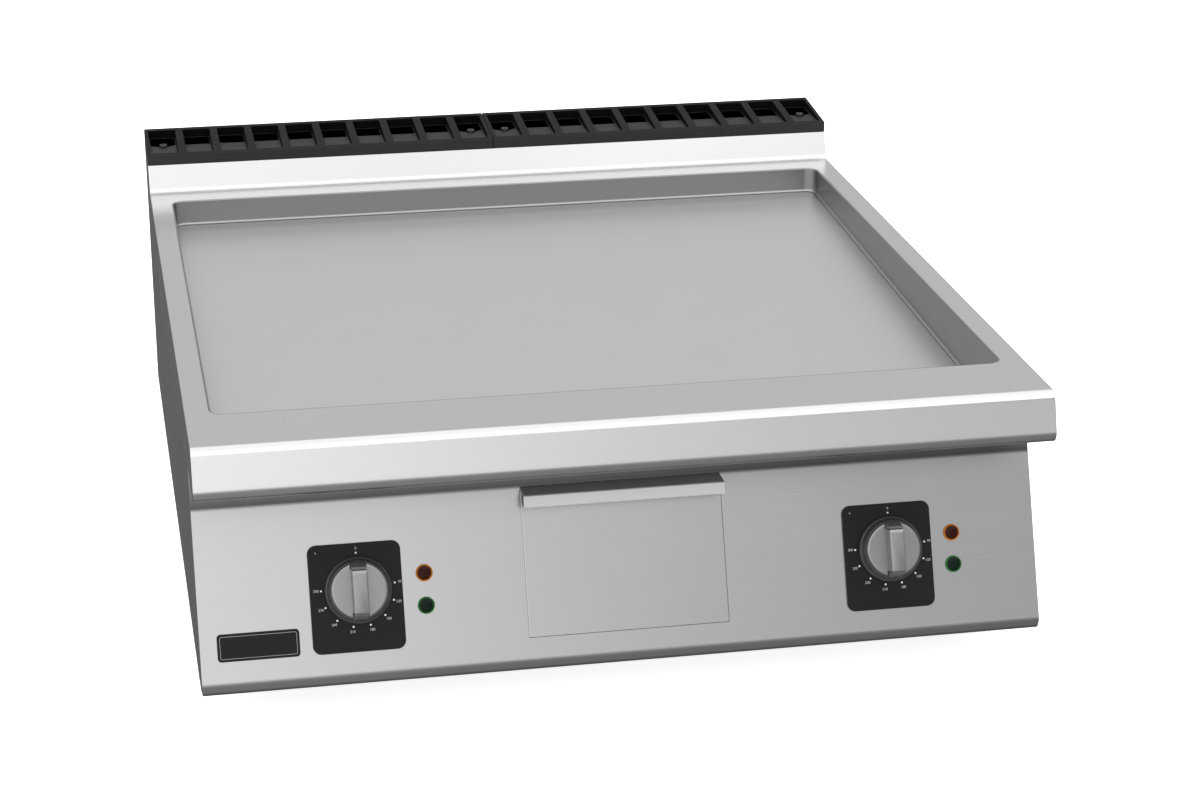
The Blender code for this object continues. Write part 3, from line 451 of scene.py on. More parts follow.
def by_height(made, factor):
    """Multiply a finish's colour by a factor of the height in its piece's coordinates."""
    tree = made.node_tree
    shader = tree.nodes["Principled BSDF"]
    coords = add(tree, "ShaderNodeTexCoord")
    split = add(tree, "ShaderNodeSeparateXYZ")
    tree.links.new(coords.outputs["Object"], split.inputs["Vector"])
    product = add(tree, "ShaderNodeMix", data_type="RGBA", blend_type="MULTIPLY")
    product.inputs["Factor"].default_value = 1.0
    tree.links.new(shader.inputs["Base Color"].links[0].from_socket, product.inputs["A"])
    tree.links.new(factor(tree, split.outputs["Z"]), product.inputs["B"])
    tree.links.new(product.outputs["Result"], shader.inputs["Base Color"])
    return made


def shaded_between(made, fall, rise, level):
    """Darken a finish between two heights, where it falls to a level and rises again."""
    def factor(tree, height):
        lighter = add(tree, "ShaderNodeMath", operation="MAXIMUM")
        tree.links.new(ranged(tree, height, 1.0, level, *fall), lighter.inputs[0])
        tree.links.new(ranged(tree, height, level, 1.0, *rise), lighter.inputs[1])
        return lighter.outputs["Value"]

    return by_height(made, factor)


def painted_light_above(made, low, high, gain):
    """Painted light: multiply a finish's colour by a gain growing from 1 between two heights of its
    piece.
    """
    return by_height(made, lambda tree, height: ranged(tree, height, 1.0, gain, low, high))


def lens(name, rim, hollow_shade):
    """Coloured dome with a painted shade over its hollow centre, where the dark inside shows
    through; the object's Z is its axis.
    """
    made, tree, shader = new_material(name, rim, 0.24, 0.0, Specular_IOR_Level=0.10)
    coords = add(tree, "ShaderNodeTexCoord")
    flat = add(tree, "ShaderNodeVectorMath", operation="MULTIPLY")
    flat.inputs[1].default_value = (1.0, 1.0, 0.0)
    length = add(tree, "ShaderNodeVectorMath", operation="LENGTH")
    tree.links.new(coords.outputs["Object"], flat.inputs[0])
    tree.links.new(flat.outputs["Vector"], length.inputs[0])
    wobble = add(tree, "ShaderNodeMath", operation="MULTIPLY_ADD")
    wobble.inputs[1].default_value = 0.0012
    tree.links.new(noise(tree, 260.0, (1.0, 1.0, 1.0), 2.0), wobble.inputs[0])
    tree.links.new(length.outputs["Value"], wobble.inputs[2])
    tinted(tree, shader, wobble.outputs["Value"], hollow_shade, rim, LAMP_R * 0.84, LAMP_R * 1.12)
    return made


def spangled(name, colour):
    """Galvanised sheet with its flake pattern."""
    made, tree, shader = new_material(name, colour, 0.42, 1.0)
    coords = add(tree, "ShaderNodeTexCoord")
    cells = add(tree, "ShaderNodeTexVoronoi", {"Scale": 160.0})
    tree.links.new(coords.outputs["Object"], cells.inputs["Vector"])
    grey = add(tree, "ShaderNodeSeparateColor")
    tree.links.new(cells.outputs["Color"], grey.inputs["Color"])
    tinted(tree, shader, grey.outputs["Red"], tuple(c * 0.82 for c in colour), colour, 0.0, 1.0)
    uneven = ranged(tree, grey.outputs["Green"], 0.34, 0.52, 0.0, 1.0)
    tree.links.new(uneven, shader.inputs["Roughness"])
    return made


FINISHES = {
    "steel_x": brushed("stainless_grain_across", (0.655, 0.658, 0.662), 0.26, "X"),
    "steel_y": brushed("stainless_grain_deep", (0.620, 0.622, 0.625), 0.26, "Y"),
    "steel_fine": brushed("stainless_polished_weld", (0.68, 0.68, 0.68), 0.20, "X", 0.04),
    "panel": shaded_between(brushed("stainless_panel", (0.500, 0.502, 0.502), 0.26, "X"),
                            SHADE_FALL, SHADE_RISE, SHADE_LEVEL),
    "drawer": brushed("stainless_drawer", (0.500, 0.502, 0.502), 0.26, "X"),
    "pull": brushed("stainless_pull", (0.50, 0.50, 0.50), 0.34, "X", 0.015, 0.35),
    # painted shade: the recess wall and its weld bead are darker copies of the stainless, for the
    # shade inside the recess
    "recess": brushed("stainless_recess_wall_painted_shade", (0.275, 0.275, 0.277), 0.30, "X"),
    "bead": brushed("stainless_bead_painted_shade", (0.34, 0.34, 0.34), 0.32, "X"),
    "plate": grained("plate_blasted", (0.562, 0.565, 0.57), 0.40, 900.0, 0.045, 0.25, 1.0, 0.006),
    "cast": grained("cast_black_enamel", (0.022, 0.022, 0.022), 0.55, 700.0, 0.25, 0.5,
                    Specular_IOR_Level=0.18),
    # painted shade: a darker, duller copy of the cast finish for the grille's upward top faces
    "cast_top_shade": grained("cast_black_top_painted_shade", (0.008, 0.008, 0.008), 0.60, 700.0, 0.25, 0.5,
                        Specular_IOR_Level=0.10),
    # painted shade: a near-black, matt copy of the cast finish stands in for the shade deep in the
    # grille's pockets
    "pocket_shade": grained("flue_pocket_painted_shade", (0.0030, 0.0028, 0.0027), 0.85, 500.0, 0.30, 0.6,
                    Specular_IOR_Level=0.05),
    "black": grained("black_satin_moulding", (0.007, 0.007, 0.0074), 0.38, 1500.0, 0.20, 0.15,
                     Specular_IOR_Level=0.16),
    # painted highlight: the knob's black grows lighter up the wedge ends, and the skirt keeps the
    # darker tone
    "knob_black": painted_light_above(grained("knob_moulding_painted_light", (0.034, 0.034, 0.035), 0.40, 1500.0, 0.12,
                                    0.10, Specular_IOR_Level=0.45), *WEDGE_PAINTED_LIGHT),
    "dark_screw": grained("black_oxide", (0.035, 0.034, 0.034), 0.42, 1200.0, 0.15, 0.2, 0.6),
    "silver": grained("silver_satin_coating", (0.275, 0.276, 0.278), 0.33, 2500.0, 0.05, 0.06,
                      0.85),
    "print": grained("grey_print", (0.30, 0.30, 0.295), 0.60, 2000.0, 0.06, 0.1),
    "bright_print": grained("white_print", (0.66, 0.66, 0.65), 0.55, 2000.0, 0.06, 0.1),
    "border": grained("silver_print", (0.34, 0.34, 0.34), 0.40, 2000.0, 0.06, 0.1, 0.6),
    # each lens's second colour is the painted shade of its hollow centre
    "amber": lens("amber_lens_finish", (0.62, 0.20, 0.02), (0.022, 0.004, 0.002)),
    "green": lens("green_lens_finish", (0.025, 0.19, 0.028), (0.003, 0.008, 0.005)),
    "zinc": grained("zinc_bright", (0.55, 0.56, 0.57), 0.28, 1200.0, 0.06, 0.1, 1.0),
    "galvanised": spangled("galvanised_spangle", (0.50, 0.51, 0.52)),
    "element": grained("element_sheath", (0.13, 0.115, 0.105), 0.48, 800.0, 0.25, 0.3, 0.9),
    "fibre": grained("ceramic_fibre_mat", (0.80, 0.78, 0.72), 0.95, 350.0, 0.10, 1.0),
    "copper": grained("copper_drawn", (0.62, 0.32, 0.20), 0.33, 900.0, 0.10, 0.1, 1.0),
    "grey": grained("grey_moulding", (0.20, 0.21, 0.22), 0.48, 1500.0, 0.08, 0.15),
    "red": grained("red_moulding", (0.45, 0.03, 0.02), 0.38, 1500.0, 0.08, 0.15),
    "rubber": grained("rubber_moulding", (0.022, 0.022, 0.022), 0.72, 1100.0, 0.15, 0.4,
                      Specular_IOR_Level=0.3),
}


# ---- Worktop, recess and plate ------------------------------------------------------------
def make_worktop():
    """Pressed top: rolled apron, flat, cove and upstand, with both side walls."""
    corners = [(FRONT_Y + APRON_RETURN, APRON_Z),
               (FRONT_Y + APRON_FOOT_SETBACK, APRON_Z),
               (FRONT_Y + APRON_TOP_SETBACK, WORKTOP_Z),
               (UPSTAND_Y - UPSTAND_LEAN, WORKTOP_Z),
               (UPSTAND_Y, UPSTAND_Z)]
    profile = fillet(corners, [0.0, APRON_ROLL_R, APRON_BEND_R, COVE_R, 0.0], 14, HOLD)
    bm = bmesh.new()
    sides = [[bm.verts.new((side * HALF_W, y, z)) for y, z in profile] for side in (-1, 1)]
    for index in range(len(profile) - 1):
        bm.faces.new((sides[0][index], sides[0][index + 1], sides[1][index + 1], sides[1][index]))
    for side, verts in zip((-1, 1), sides):
        high = bm.verts.new((side * HALF_W, CASING_BACK_Y, UPSTAND_Z))
        low = bm.verts.new((side * HALF_W, CASING_BACK_Y, APRON_Z))
        loop = verts + [high, low]
        bm.faces.new(loop if side > 0 else loop[::-1])
    bmesh.ops.recalc_face_normals(bm, faces=bm.faces)
    top = max(bm.faces, key=lambda f: f.calc_area() if abs(f.normal.z) > 0.9 else 0.0)
    if top.normal.z < 0:
        bmesh.ops.reverse_faces(bm, faces=bm.faces)
    made = new_object("worktop_sheet", bm)
    thicken(made, TOP_SHEET)
    hole = bmesh.new()
    half = RECESS_HALF_W + FLARE_R
    loft(hole, [rect_ring(-half, half, RECESS_FRONT_Y - FLARE_R, RECESS_REAR_Y + FLARE_R,
                          RECESS_R + FLARE_R, WORKTOP_Z + z, 12) for z in (-0.02, 0.02)])
    combine(made, hole, "DIFFERENCE")
    shade(made)
    break_edges(made, 0.0006)
    finish_piece(made, "steel_x", "casing", ["worktop"])


def recess_ring(inset, z, steps=12):
    """Outline of the recess wall, moved inwards, at a height or along a height function."""
    ring = rect_ring(-RECESS_HALF_W + inset, RECESS_HALF_W - inset, RECESS_FRONT_Y + inset,
                     RECESS_REAR_Y - inset, RECESS_R - inset, 0.0, steps)
    for point in ring:
        point.z = z(point.y) if callable(z) else z
    return ring


def make_recess():
    """Recess wall with its polished top edge, and the fillet weld round the plate."""
    low = PLATE_FRONT_Z - PLATE_T - 0.002
    top_arc = arc((FLARE_R, WORKTOP_Z - FLARE_R), FLARE_R, 90, 180)
    levels = [(SHEET, low), (SHEET, WORKTOP_Z - 0.0022), (FLARE_R, WORKTOP_Z - 0.0008)]
    levels += top_arc + [(0.0, WORKTOP_Z - FLARE_R - HOLD), (0.0, low)]
    bm = bmesh.new()
    loft(bm, [recess_ring(-out, z) for out, z in levels], closed=True)
    made = new_object("recess_wall", bm)
    shade(made, 40)
    finish_piece(made, "recess", "casing", ["recess_collar"])

    def along(height):
        return lambda y: plate_z(y) + height

    centre = (BEAD_R, BEAD_R)
    levels = [(0.0, 0.0003), (0.0, BEAD_R)] + arc(centre, BEAD_R, 180, 270, 8)[1:]
    levels += [(BEAD_R + 0.0004, 0.0002)]
    bm = bmesh.new()
    loft(bm, [recess_ring(inset, along(height)) for inset, height in levels][::-1], closed=True)
    bmesh.ops.recalc_face_normals(bm, faces=bm.faces)
    made = new_object("plate_weld_bead", bm)
    shade(made, 50)
    finish_piece(made, "bead", "casing")


def make_plate():
    """Thick plate with a countersunk drain, and the spout below it."""
    length = (RECESS_REAR_Y - RECESS_FRONT_Y) / math.cos(PLATE_SLOPE)
    half, inset = RECESS_HALF_W, PLATE_EDGE_GAP
    bm = bmesh.new()
    loft(bm, [rect_ring(-half + inset, half - inset, inset, length - inset, RECESS_R - inset, z, 12)
              for z in (-PLATE_T, 0.0)])
    made = new_object("griddle_plate", bm, plate_place())
    drain = bmesh.new()
    turned(drain, [(DRAIN_R, -0.02), (DRAIN_R, -DRAIN_CHAMFER), (DRAIN_R + DRAIN_CHAMFER, 0.0),
                   (DRAIN_R + DRAIN_CHAMFER, 0.01)], 96)
    place = plate_place() @ Matrix.Translation((0.0, DRAIN_Y - RECESS_FRONT_Y, 0.0))
    combine(made, drain, "DIFFERENCE", place)
    shade(made)
    break_edges(made, 0.0005)
    finish_piece(made, "plate", "casing", ["cooking_plate"])

    wall, rim, drop = DRAIN_R + SHEET, DRAIN_R + 0.012, 0.034
    bm = bmesh.new()
    turned(bm, [(wall, -drop), (wall, -SHEET), (rim, -SHEET), (rim, 0.0), (DRAIN_R, 0.0),
                (DRAIN_R, -drop)], 64, closed=True)
    place = plate_place() @ Matrix.Translation(
        (0.0, DRAIN_Y - RECESS_FRONT_Y, -PLATE_T - GAP))
    made = new_object("drain_pipe", bm, place)
    shade(made)
    break_edges(made, 0.0002)
    finish_piece(made, "steel_fine", "casing", ["drain_spout"])


# ---- Casing -------------------------------------------------------------------------------
def make_front_panel():
    """Inclined control panel, rolled under at its foot, with its openings."""
    top = APRON_Z - GAP
    corners = [(FRONT_Y + APRON_RETURN, top), (panel_y(top), top),
               (panel_y(PANEL_CORNER_Z), PANEL_CORNER_Z), (PANEL_SOLE_Y, BODY_Z),
               (PANEL_SOLE_Y + PANEL_SOLE_L, BODY_Z)]
    profile = fillet(corners, [0.0, 0.003, PANEL_ROLL_R, 0.004, 0.0], 12, 0.0004)
    halves = [HALF_W - PANEL_SOLE_INSET * min(1.0, max(0.0, (PANEL_CORNER_Z - 0.002 - z) / 0.006))
              for _, z in profile]
    made = folded("control_panel", profile[::-1], halves[::-1], SHEET)
    tool = bmesh.new()
    reach = DRAWER_HALF_W + SEAM
    loft(tool, [rect_ring(-reach, reach, DRAWER_LOW - SEAM, DRAWER_HIGH + SEAM, 0.0009, z, 4)
                for z in (-0.02, 0.02)])
    combine(made, tool, "DIFFERENCE", on_panel())
    for side, _ in SIDES:
        spots = [(SHAFT_HOLE_R, side * DIAL_X + KNOB_X_OFFSET, DIAL_UP)]
        spots += [(LAMP_NECK_R + GAP, side * DIAL_X + LAMP_X_OFFSET, up)
                  for up in LAMP_UPS.values()]
        for radius, x, up in spots:
            tool = bmesh.new()
            turned(tool, [(radius, -0.02), (radius, 0.02)], 40)
            combine(made, tool, "DIFFERENCE", on_panel(x, up))
    shade(made)
    break_edges(made, 0.0002)
    finish_piece(made, "panel", "casing", ["front_panel"])


def make_rear_screws():
    """Pan-head screws that hold the back sheet, standing in its set-back."""
    spots = [(x, z) for x in REAR_SCREW_XS for z in REAR_SCREW_ZS]
    spots += [(x, z) for x in (REAR_SCREW_XS[0], REAR_SCREW_XS[-1]) for z in REAR_EDGE_SCREW_ZS]
    for number, (x, z) in enumerate(spots, 1):
        place = Matrix.Translation((x, BACK_SHEET_Y, z)) @ Matrix.Rotation(math.pi / 2, 4, "X")
        place = place @ Matrix.Rotation(math.pi, 4, "X")
        place = place @ Matrix.Rotation(0.7 * number, 4, "Z")
        screw_head(f"rear_screw_{number}", place, *REAR_SCREW_HEAD, "zinc")


def screw_head(name, place, radius, height, finish, shank=0.0, nodes=()):
    """Pan head with a cross recess; the local Z points out of the head."""
    bm = bmesh.new()
    profile = [(radius * 0.42, -shank), (radius * 0.42, 0.0)] if shank else []
    profile += [(radius, 0.0), (radius, height * 0.35)]
    profile += [(radius * (1 - t * t * 0.45), height * (0.35 + 0.65 * math.sin(math.pi / 2 * t)))
                for t in (0.25, 0.5, 0.75, 1.0)]
    profile += [(radius * 0.3, height)]
    turned(bm, profile, 40)
    made = new_object(name, bm, place)
    for turn in (0.0, math.pi / 2):
        cross = bmesh.new()
        verts = block(cross, (-radius * 0.50, -radius * 0.11, height * 0.30),
                      (radius * 0.50, radius * 0.11, height + 0.001))
        for vert in verts:
            if vert.co.z < height * 0.5:
                vert.co.x *= 0.45
        combine(made, cross, "DIFFERENCE", place @ Matrix.Rotation(turn, 4, "Z"))
    shade(made, 32)
    finish_piece(made, finish, "casing", nodes)


# ---- Vent grilles -------------------------------------------------------------------------
def make_grille(side, name):
    """Cast grille half: drafted pockets with a front ledge and a flue opening each."""
    low_x, high_x = sorted((side * GAP, side * HALF_W))
    bm = bmesh.new()
    for vert in block(bm, (low_x, UPSTAND_Y, UPSTAND_Z), (high_x, REAR_Y, GRILLE_REAR_Z)):
        if vert.co.z > UPSTAND_Z + 0.001:
            vert.co.z = GRILLE_FRONT_Z if vert.co.y < REAR_Y - 0.001 else GRILLE_REAR_Z
    made = new_object(f"vent_casting_{name}", bm)
    pitch = (high_x - low_x) / GRILLE_CELLS
    half = (pitch - GRILLE_BAR) / 2
    above = GRILLE_REAR_Z + 0.006
    centres = [low_x + (cell + 0.5) * pitch for cell in range(GRILLE_CELLS)]
    pockets = bmesh.new()
    holes = bmesh.new()
    draft = 0.0007
    for x in centres:
        y0, y1 = GRILLE_CELL_FRONT_Y, GRILLE_CELL_BACK_Y
        loft(pockets, [rect_ring(x - half + d, x + half - d, y0 + d, y1 - d, 0.0020, z, 4)
                       for d, z in ((draft, GRILLE_LEDGE_Z), (-draft * 0.5, above))])
        loft(holes, [rect_ring(x - half + GRILLE_STEP, x + half - GRILLE_STEP, y0 + GRILLE_LEDGE,
                               y1 - GRILLE_STEP, 0.0015, z, 3) for z in (UPSTAND_Z - 0.01, above)])
    combine(made, pockets, "DIFFERENCE")
    combine(made, holes, "DIFFERENCE")
    for x in (centres[0], centres[-1]):
        place = Matrix.Translation((x, GRILLE_SCREW_Y, GRILLE_LEDGE_Z))
        hole = bmesh.new()
        turned(hole, [(GRILLE_SCREW_HOLE_R, -0.02), (GRILLE_SCREW_HOLE_R, 0.02)], 24)
        combine(made, hole, "DIFFERENCE", place)
    shade(made)
    break_edges(made, 0.0007, 2, 40)
    finish_piece(made, "cast", "casing", [f"flue_grille_{name}"])
    made.data.materials.append(FINISHES["pocket_shade"])
    made.data.materials.append(FINISHES["cast_top_shade"])
    slope = (GRILLE_REAR_Z - GRILLE_FRONT_Z) / (REAR_Y - UPSTAND_Y)
    for face in made.data.polygons:
        inside = GRILLE_CELL_FRONT_Y + 0.02 < face.center.y < REAR_Y - 0.002
        across = low_x + 0.001 < face.center.x < high_x - 0.001
        level = GRILLE_FRONT_Z + slope * (face.center.y - UPSTAND_Y)
        # upward faces at the top of the casting take the darker copy with the painted shade
        if face.normal.z > 0.5 and face.center.z > level - 0.0012:
            face.material_index = 2
        # the pockets' side walls take the painted shade
        elif inside and across and abs(face.normal.z) < 0.5:
            face.material_index = 1
    ends = ("outer", "inner") if side < 0 else ("inner", "outer")
    for x, end in zip((centres[0], centres[-1]), ends):
        place = Matrix.Translation((x, GRILLE_SCREW_Y, GRILLE_LEDGE_Z + GAP))
        place = place @ Matrix.Rotation(0.4 + x * 7.0, 4, "Z")
        screw_head(f"vent_screw_{name}_{end}", place, *GRILLE_SCREW_HEAD, "dark_screw",
                   GRILLE_SCREW_SHANK, [f"grille_screw_{name}_{end}"])


# ---- Controls -----------------------------------------------------------------------------
def plate_solid(name, width, height, thick, radius, place, bevel=0.0007, centre=(0.0, 0.0)):
    """Flat plate with round corners and a rounded front edge."""
    levels = [(0.0, 0.0), (0.0, thick - bevel)]
    levels += [(bevel * (1 - math.cos(a)), thick - bevel * (1 - math.sin(a)))
               for a in (math.pi / 8, math.pi / 4, math.pi * 3 / 8, math.pi / 2)]
    levels.append((bevel + 0.0004, thick))
    bm = bmesh.new()
    loft(bm, [rect_ring(centre[0] - width / 2 + d, centre[0] + width / 2 - d,
                        centre[1] - height / 2 + d, centre[1] + height / 2 - d, radius - d, z, 10)
              for d, z in levels])
    made = new_object(name, bm, place)
    shade(made, 40)
    return made


def text_mesh(words, size, place):
    """Raised print of digits, centred on its place."""
    curve = bpy.data.curves.new("print", "FONT")
    curve.body = words
    curve.size = size
    curve.align_x = "CENTER"
    curve.align_y = "CENTER"
    curve.extrude = PRINT_T / 2
    curve.offset = size * 0.012
    curve.resolution_u = 3
    made = bpy.data.objects.new("print", curve)
    scene.collection.objects.link(made)
    bpy.context.view_layer.update()
    found = made.evaluated_get(bpy.context.evaluated_depsgraph_get())
    data = bpy.data.meshes.new_from_object(found)
    data.transform(place)
    bpy.data.objects.remove(made, do_unlink=True)
    return data


def make_dial(side, name):
    """Dial plate with its bore and its printed scale."""
    place = on_panel(side * DIAL_X + KNOB_X_OFFSET, DIAL_UP, GAP)
    width, height, thick = DIAL_PLATE
    middle = (-KNOB_X_OFFSET, DIAL_PLATE_UP - DIAL_UP)
    made = plate_solid(f"dial_face_{name}", width, height, thick, DIAL_PLATE_R, place,
                       centre=middle)
    bore = bmesh.new()
    turned(bore, [(DIAL_BORE_R, -0.01), (DIAL_BORE_R, 0.01)], 32)
    combine(made, bore, "DIFFERENCE", place)
    shade(made, 40)
    finish_piece(made, "black", "casing", [f"dial_plate_{name}"])

    scale = bmesh.new()
    dots = bmesh.new()
    up = Matrix.Translation((0.0, 0.0, thick + PRINT_T / 2))
    marks = [(0, "0")] + list(zip(MARK_DEGREES, MARK_TEXTS))
    for degrees, words in marks:
        way = Vector((math.sin(math.radians(degrees)), math.cos(math.radians(degrees)), 0.0))
        dot = turned(dots, [(MARK_DOT_R, -PRINT_T / 2), (MARK_DOT_R, PRINT_T / 2)], 20)
        bmesh.ops.transform(dots, matrix=up @ Matrix.Translation(way * MARK_R), verts=dot)
        reach = ZERO_TEXT_R if degrees == 0 else MARK_TEXT_R
        scale.from_mesh(text_mesh(words, MARK_SIZE, up @ Matrix.Translation(way * reach)))
    corner = Matrix.Translation((middle[0] - width / 2 + DEGREE_INSET[0],
                                 middle[1] + height / 2 - DEGREE_INSET[1], 0.0))
    scale.from_mesh(text_mesh("°", DEGREE_SIZE, up @ corner))
    for kind, data, finish in (("numbers", scale, "print"), ("dots", dots, "bright_print")):
        made = new_object(f"dial_{kind}_{name}", data, place)
        finish_piece(made, finish, "casing")


def make_knob(side, name):
    """Black skirt with wedge ends, and silver cap with its grip bar."""
    body = f"knob_{name}"
    place = on_panel(side * DIAL_X + KNOB_X_OFFSET, DIAL_UP, DIAL_PLATE[2] + 2 * GAP)
    skirt = bmesh.new()
    profile = [(KNOB_R - 0.0006, 0.0), (KNOB_R, 0.0006), (KNOB_R, 0.0026)]
    profile += arc((KNOB_R - 0.0022, 0.0026), 0.0022, 15, 75, 5)
    profile += [(KNOB_CAP_R + 0.0012, KNOB_SKIRT_H), (KNOB_CAP_R * 0.5, KNOB_SKIRT_H)]
    turned(skirt, profile, 128)
    made = new_object(f"knob_skirt_{name}", skirt, place)
    half = GRIP_W / 2
    for way, top, drop in ((-1, GRIP_TOP - 0.0014, 0.0),
                           (1, GRIP_TOP - GRIP_HEAD_R, GRIP_HEAD_DROP)):
        wedge = bmesh.new()
        rings = []
        for step in range(7):
            share = step / 6
            reach = KNOB_R - 0.0008 - (KNOB_R - 0.0020 - GRIP_L / 2) * share ** 0.85
            ends = sorted((way * (GRIP_L / 2 - drop + GAP), way * reach))
            rings.append(rect_ring(-half + 0.0003 * share, half - 0.0003 * share, *ends, 0.0004,
                                   0.0015 + share * (top - 0.0015), 3))
        loft(wedge, rings)
        combine(made, wedge, "UNION", place)
    bore = bmesh.new()
    turned(bore, [(KNOB_BORE_R, -0.005), (KNOB_BORE_R, KNOB_SKIRT_H - 0.0015)], 32)
    combine(made, bore, "DIFFERENCE", place)
    shade(made, 38)
    finish_piece(made, "knob_black", body, [f"knob_body_{name}"])

    low = KNOB_SKIRT_H + GAP
    high = low + KNOB_CAP_T
    disc = bmesh.new()
    profile = [(KNOB_CAP_R, low), (KNOB_CAP_R, high - 0.0013)]
    profile += arc((KNOB_CAP_R - 0.0014, high - 0.0013), 0.0013, 10, 80, 4)
    profile += [(KNOB_CAP_R - 0.0022, high), (KNOB_CAP_R * 0.6, high)]
    turned(disc, profile, 128)
    made = new_object(f"knob_face_{name}", disc, place)
    for way in (-1, 1):
        notch = bmesh.new()
        ends = sorted((way * (GRIP_L / 2 - 0.001), way * 0.05))
        block(notch, (-half - 0.0007, ends[0], 0.0), (half + 0.0007, ends[1], 0.05))
        combine(made, notch, "DIFFERENCE", place)
    grip = bmesh.new()
    top_y = GRIP_L / 2 - GRIP_HEAD_DROP
    levels = [(0.0, 0.0, low)]
    for step in range(9):
        turn = math.pi / 2 * step / 8
        drop = GRIP_HEAD_R * (1 - math.sin(turn))
        around = max(0.0, GRIP_HEAD_SOFT - drop) ** 2 / GRIP_HEAD_SOFT
        levels.append((around, GRIP_HEAD_L * (1 - math.cos(turn)), GRIP_TOP - drop))
    loft(grip, [rect_ring(-half + around, half - around, around - GRIP_L / 2, top_y - head,
                          0.0010, z, 5) for around, head, z in levels])
    combine(made, grip, "UNION", place)
    shade(made, 30)
    finish_piece(made, "silver", body, [f"knob_cap_{name}"])


def make_lamp(side, name, colour):
    """Domed lens with a moulded shoulder."""
    place = on_panel(side * DIAL_X + LAMP_X_OFFSET, LAMP_UPS[colour], GAP)
    profile = [(LAMP_NECK_R, -0.009), (LAMP_NECK_R, 0.0), (LAMP_R - 0.0003, 0.0), (LAMP_R, 0.0003)]
    profile += [(LAMP_R * math.cos(a), 0.0004 + 0.0022 * math.sin(a))
                for a in [math.pi / 2 * k / 12 for k in range(1, 12)]]
    bm = bmesh.new()
    turned(bm, profile, 64)
    made = new_object(f"lamp_lens_{colour}_{name}", bm, place)
    shade(made, 45)
    finish_piece(made, colour, "casing", [f"lamp_{colour}_{name}"])


def make_badge():
    """Blank badge with a fine inset border."""
    place = on_panel(*BADGE_AT, GAP)
    made = plate_solid("badge_blank", *BADGE, BADGE_R, place, 0.0005)
    finish_piece(made, "black", "casing", ["badge_plate"])
    bm = bmesh.new()
    half_w, half_h = BADGE[0] / 2 - BADGE_LINE_INSET, BADGE[1] / 2 - BADGE_LINE_INSET
    levels = [(inset, BADGE[2] + rise) for inset, rise in
              ((0.0, 0.0), (0.0, PRINT_T), (BADGE_LINE, PRINT_T), (BADGE_LINE, 0.0))]
    loft(bm, [rect_ring(-half_w + d, half_w - d, -half_h + d, half_h - d, 0.0020 - d, z, 6)
              for d, z in levels], closed=True)
    made = new_object("badge_border", bm, place)
    finish_piece(made, "border", "casing")


# ---- Grease drawer ------------------------------------------------------------------------
def make_drawer():
    """Folded drawer front and its pull lip."""
    width, low, high = DRAWER_HALF_W, DRAWER_LOW, DRAWER_HIGH - 0.0045
    deep, edge = 0.008, 0.0003
    lean = math.tan(PANEL_TILT)      # the flanges run level, as the drawer slides
    levels = [(SHEET, -SHEET), (SHEET, -deep), (0.0, -deep), (0.0, -edge)]
    levels += [(edge * (1 - math.cos(a)), -edge * (1 - math.sin(a)))
               for a in (math.pi / 6, math.pi / 3, math.pi / 2)] + [(edge + 0.0005, 0.0)]
    bm = bmesh.new()
    loft(bm, [rect_ring(-width + d, width - d, low + d - z * lean, high - d - z * lean,
                        0.0012 - d * 0.5, z, 4) for d, z in levels])
    made = new_object("drawer_face", bm, on_panel())
    shade(made, 40)
    finish_piece(made, "drawer", "drawer", ["drawer_front"])

    root = on_panel(up=DRAWER_HIGH - 0.0040).translation
    top = root.z + 0.0030
    lip_y = root.y - HANDLE_REACH
    foot_y = lip_y - HANDLE_LIP * math.sin(PANEL_TILT)
    foot_z = top - HANDLE_LIP * math.cos(PANEL_TILT)
    corners = [(root.y + 0.014, top), (lip_y, top), (foot_y, foot_z),
               (foot_y + PULL_RETURN, foot_z)]
    profile = fillet(corners, [0.0, 0.0018, 0.0014, 0.0], 10, 0.0004)
    made = folded("drawer_pull", profile[::-1], DRAWER_HALF_W, DRAWER_SHEET)
    shade(made)
    break_edges(made, 0.00025)
    finish_piece(made, "pull", "drawer", ["drawer_handle"])


# ---- Feet ---------------------------------------------------------------------------------
def make_feet():
    """Adjustable feet: threaded stem, collar and rubber-soled pad."""
    collar = TRAY_Z - GAP
    profile = [(FOOT_PAD_R - 0.0008, 0.0), (FOOT_PAD_R, 0.0008), (FOOT_PAD_R, 0.0056)]
    profile += arc((FOOT_PAD_R - 0.0026, 0.0062), 0.0026, 0, 70, 5)
    profile += [(0.0135, collar - 0.0108), (0.0112, collar - 0.0098), (0.0110, collar - 0.0088),
                (0.0110, collar - 0.0006), (0.0104, collar), (FOOT_STEM_R - 0.0005, collar)]
    for turn in range(STEM_TURNS):
        z = collar + 0.0010 + turn * STEM_PITCH
        profile += [(FOOT_STEM_R - 0.0007, z), (FOOT_STEM_R, z + STEM_PITCH * 0.45),
                    (FOOT_STEM_R, z + STEM_PITCH * 0.55)]
    profile += [(FOOT_STEM_R - 0.0010, collar + 0.0260)]
    for along in ("front", "rear"):
        for _, across in SIDES:
            node = f"foot_{along}_{across}"
            low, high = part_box(node)
            bm = bmesh.new()
            turned(bm, profile, 48)
            place = Matrix.Translation(((low.x + high.x) / 2, (low.y + high.y) / 2, 0.0))
            made = new_object(f"adjustable_{node}", bm, place)
            shade(made, 28)
            finish_piece(made, "rubber", node, [node])


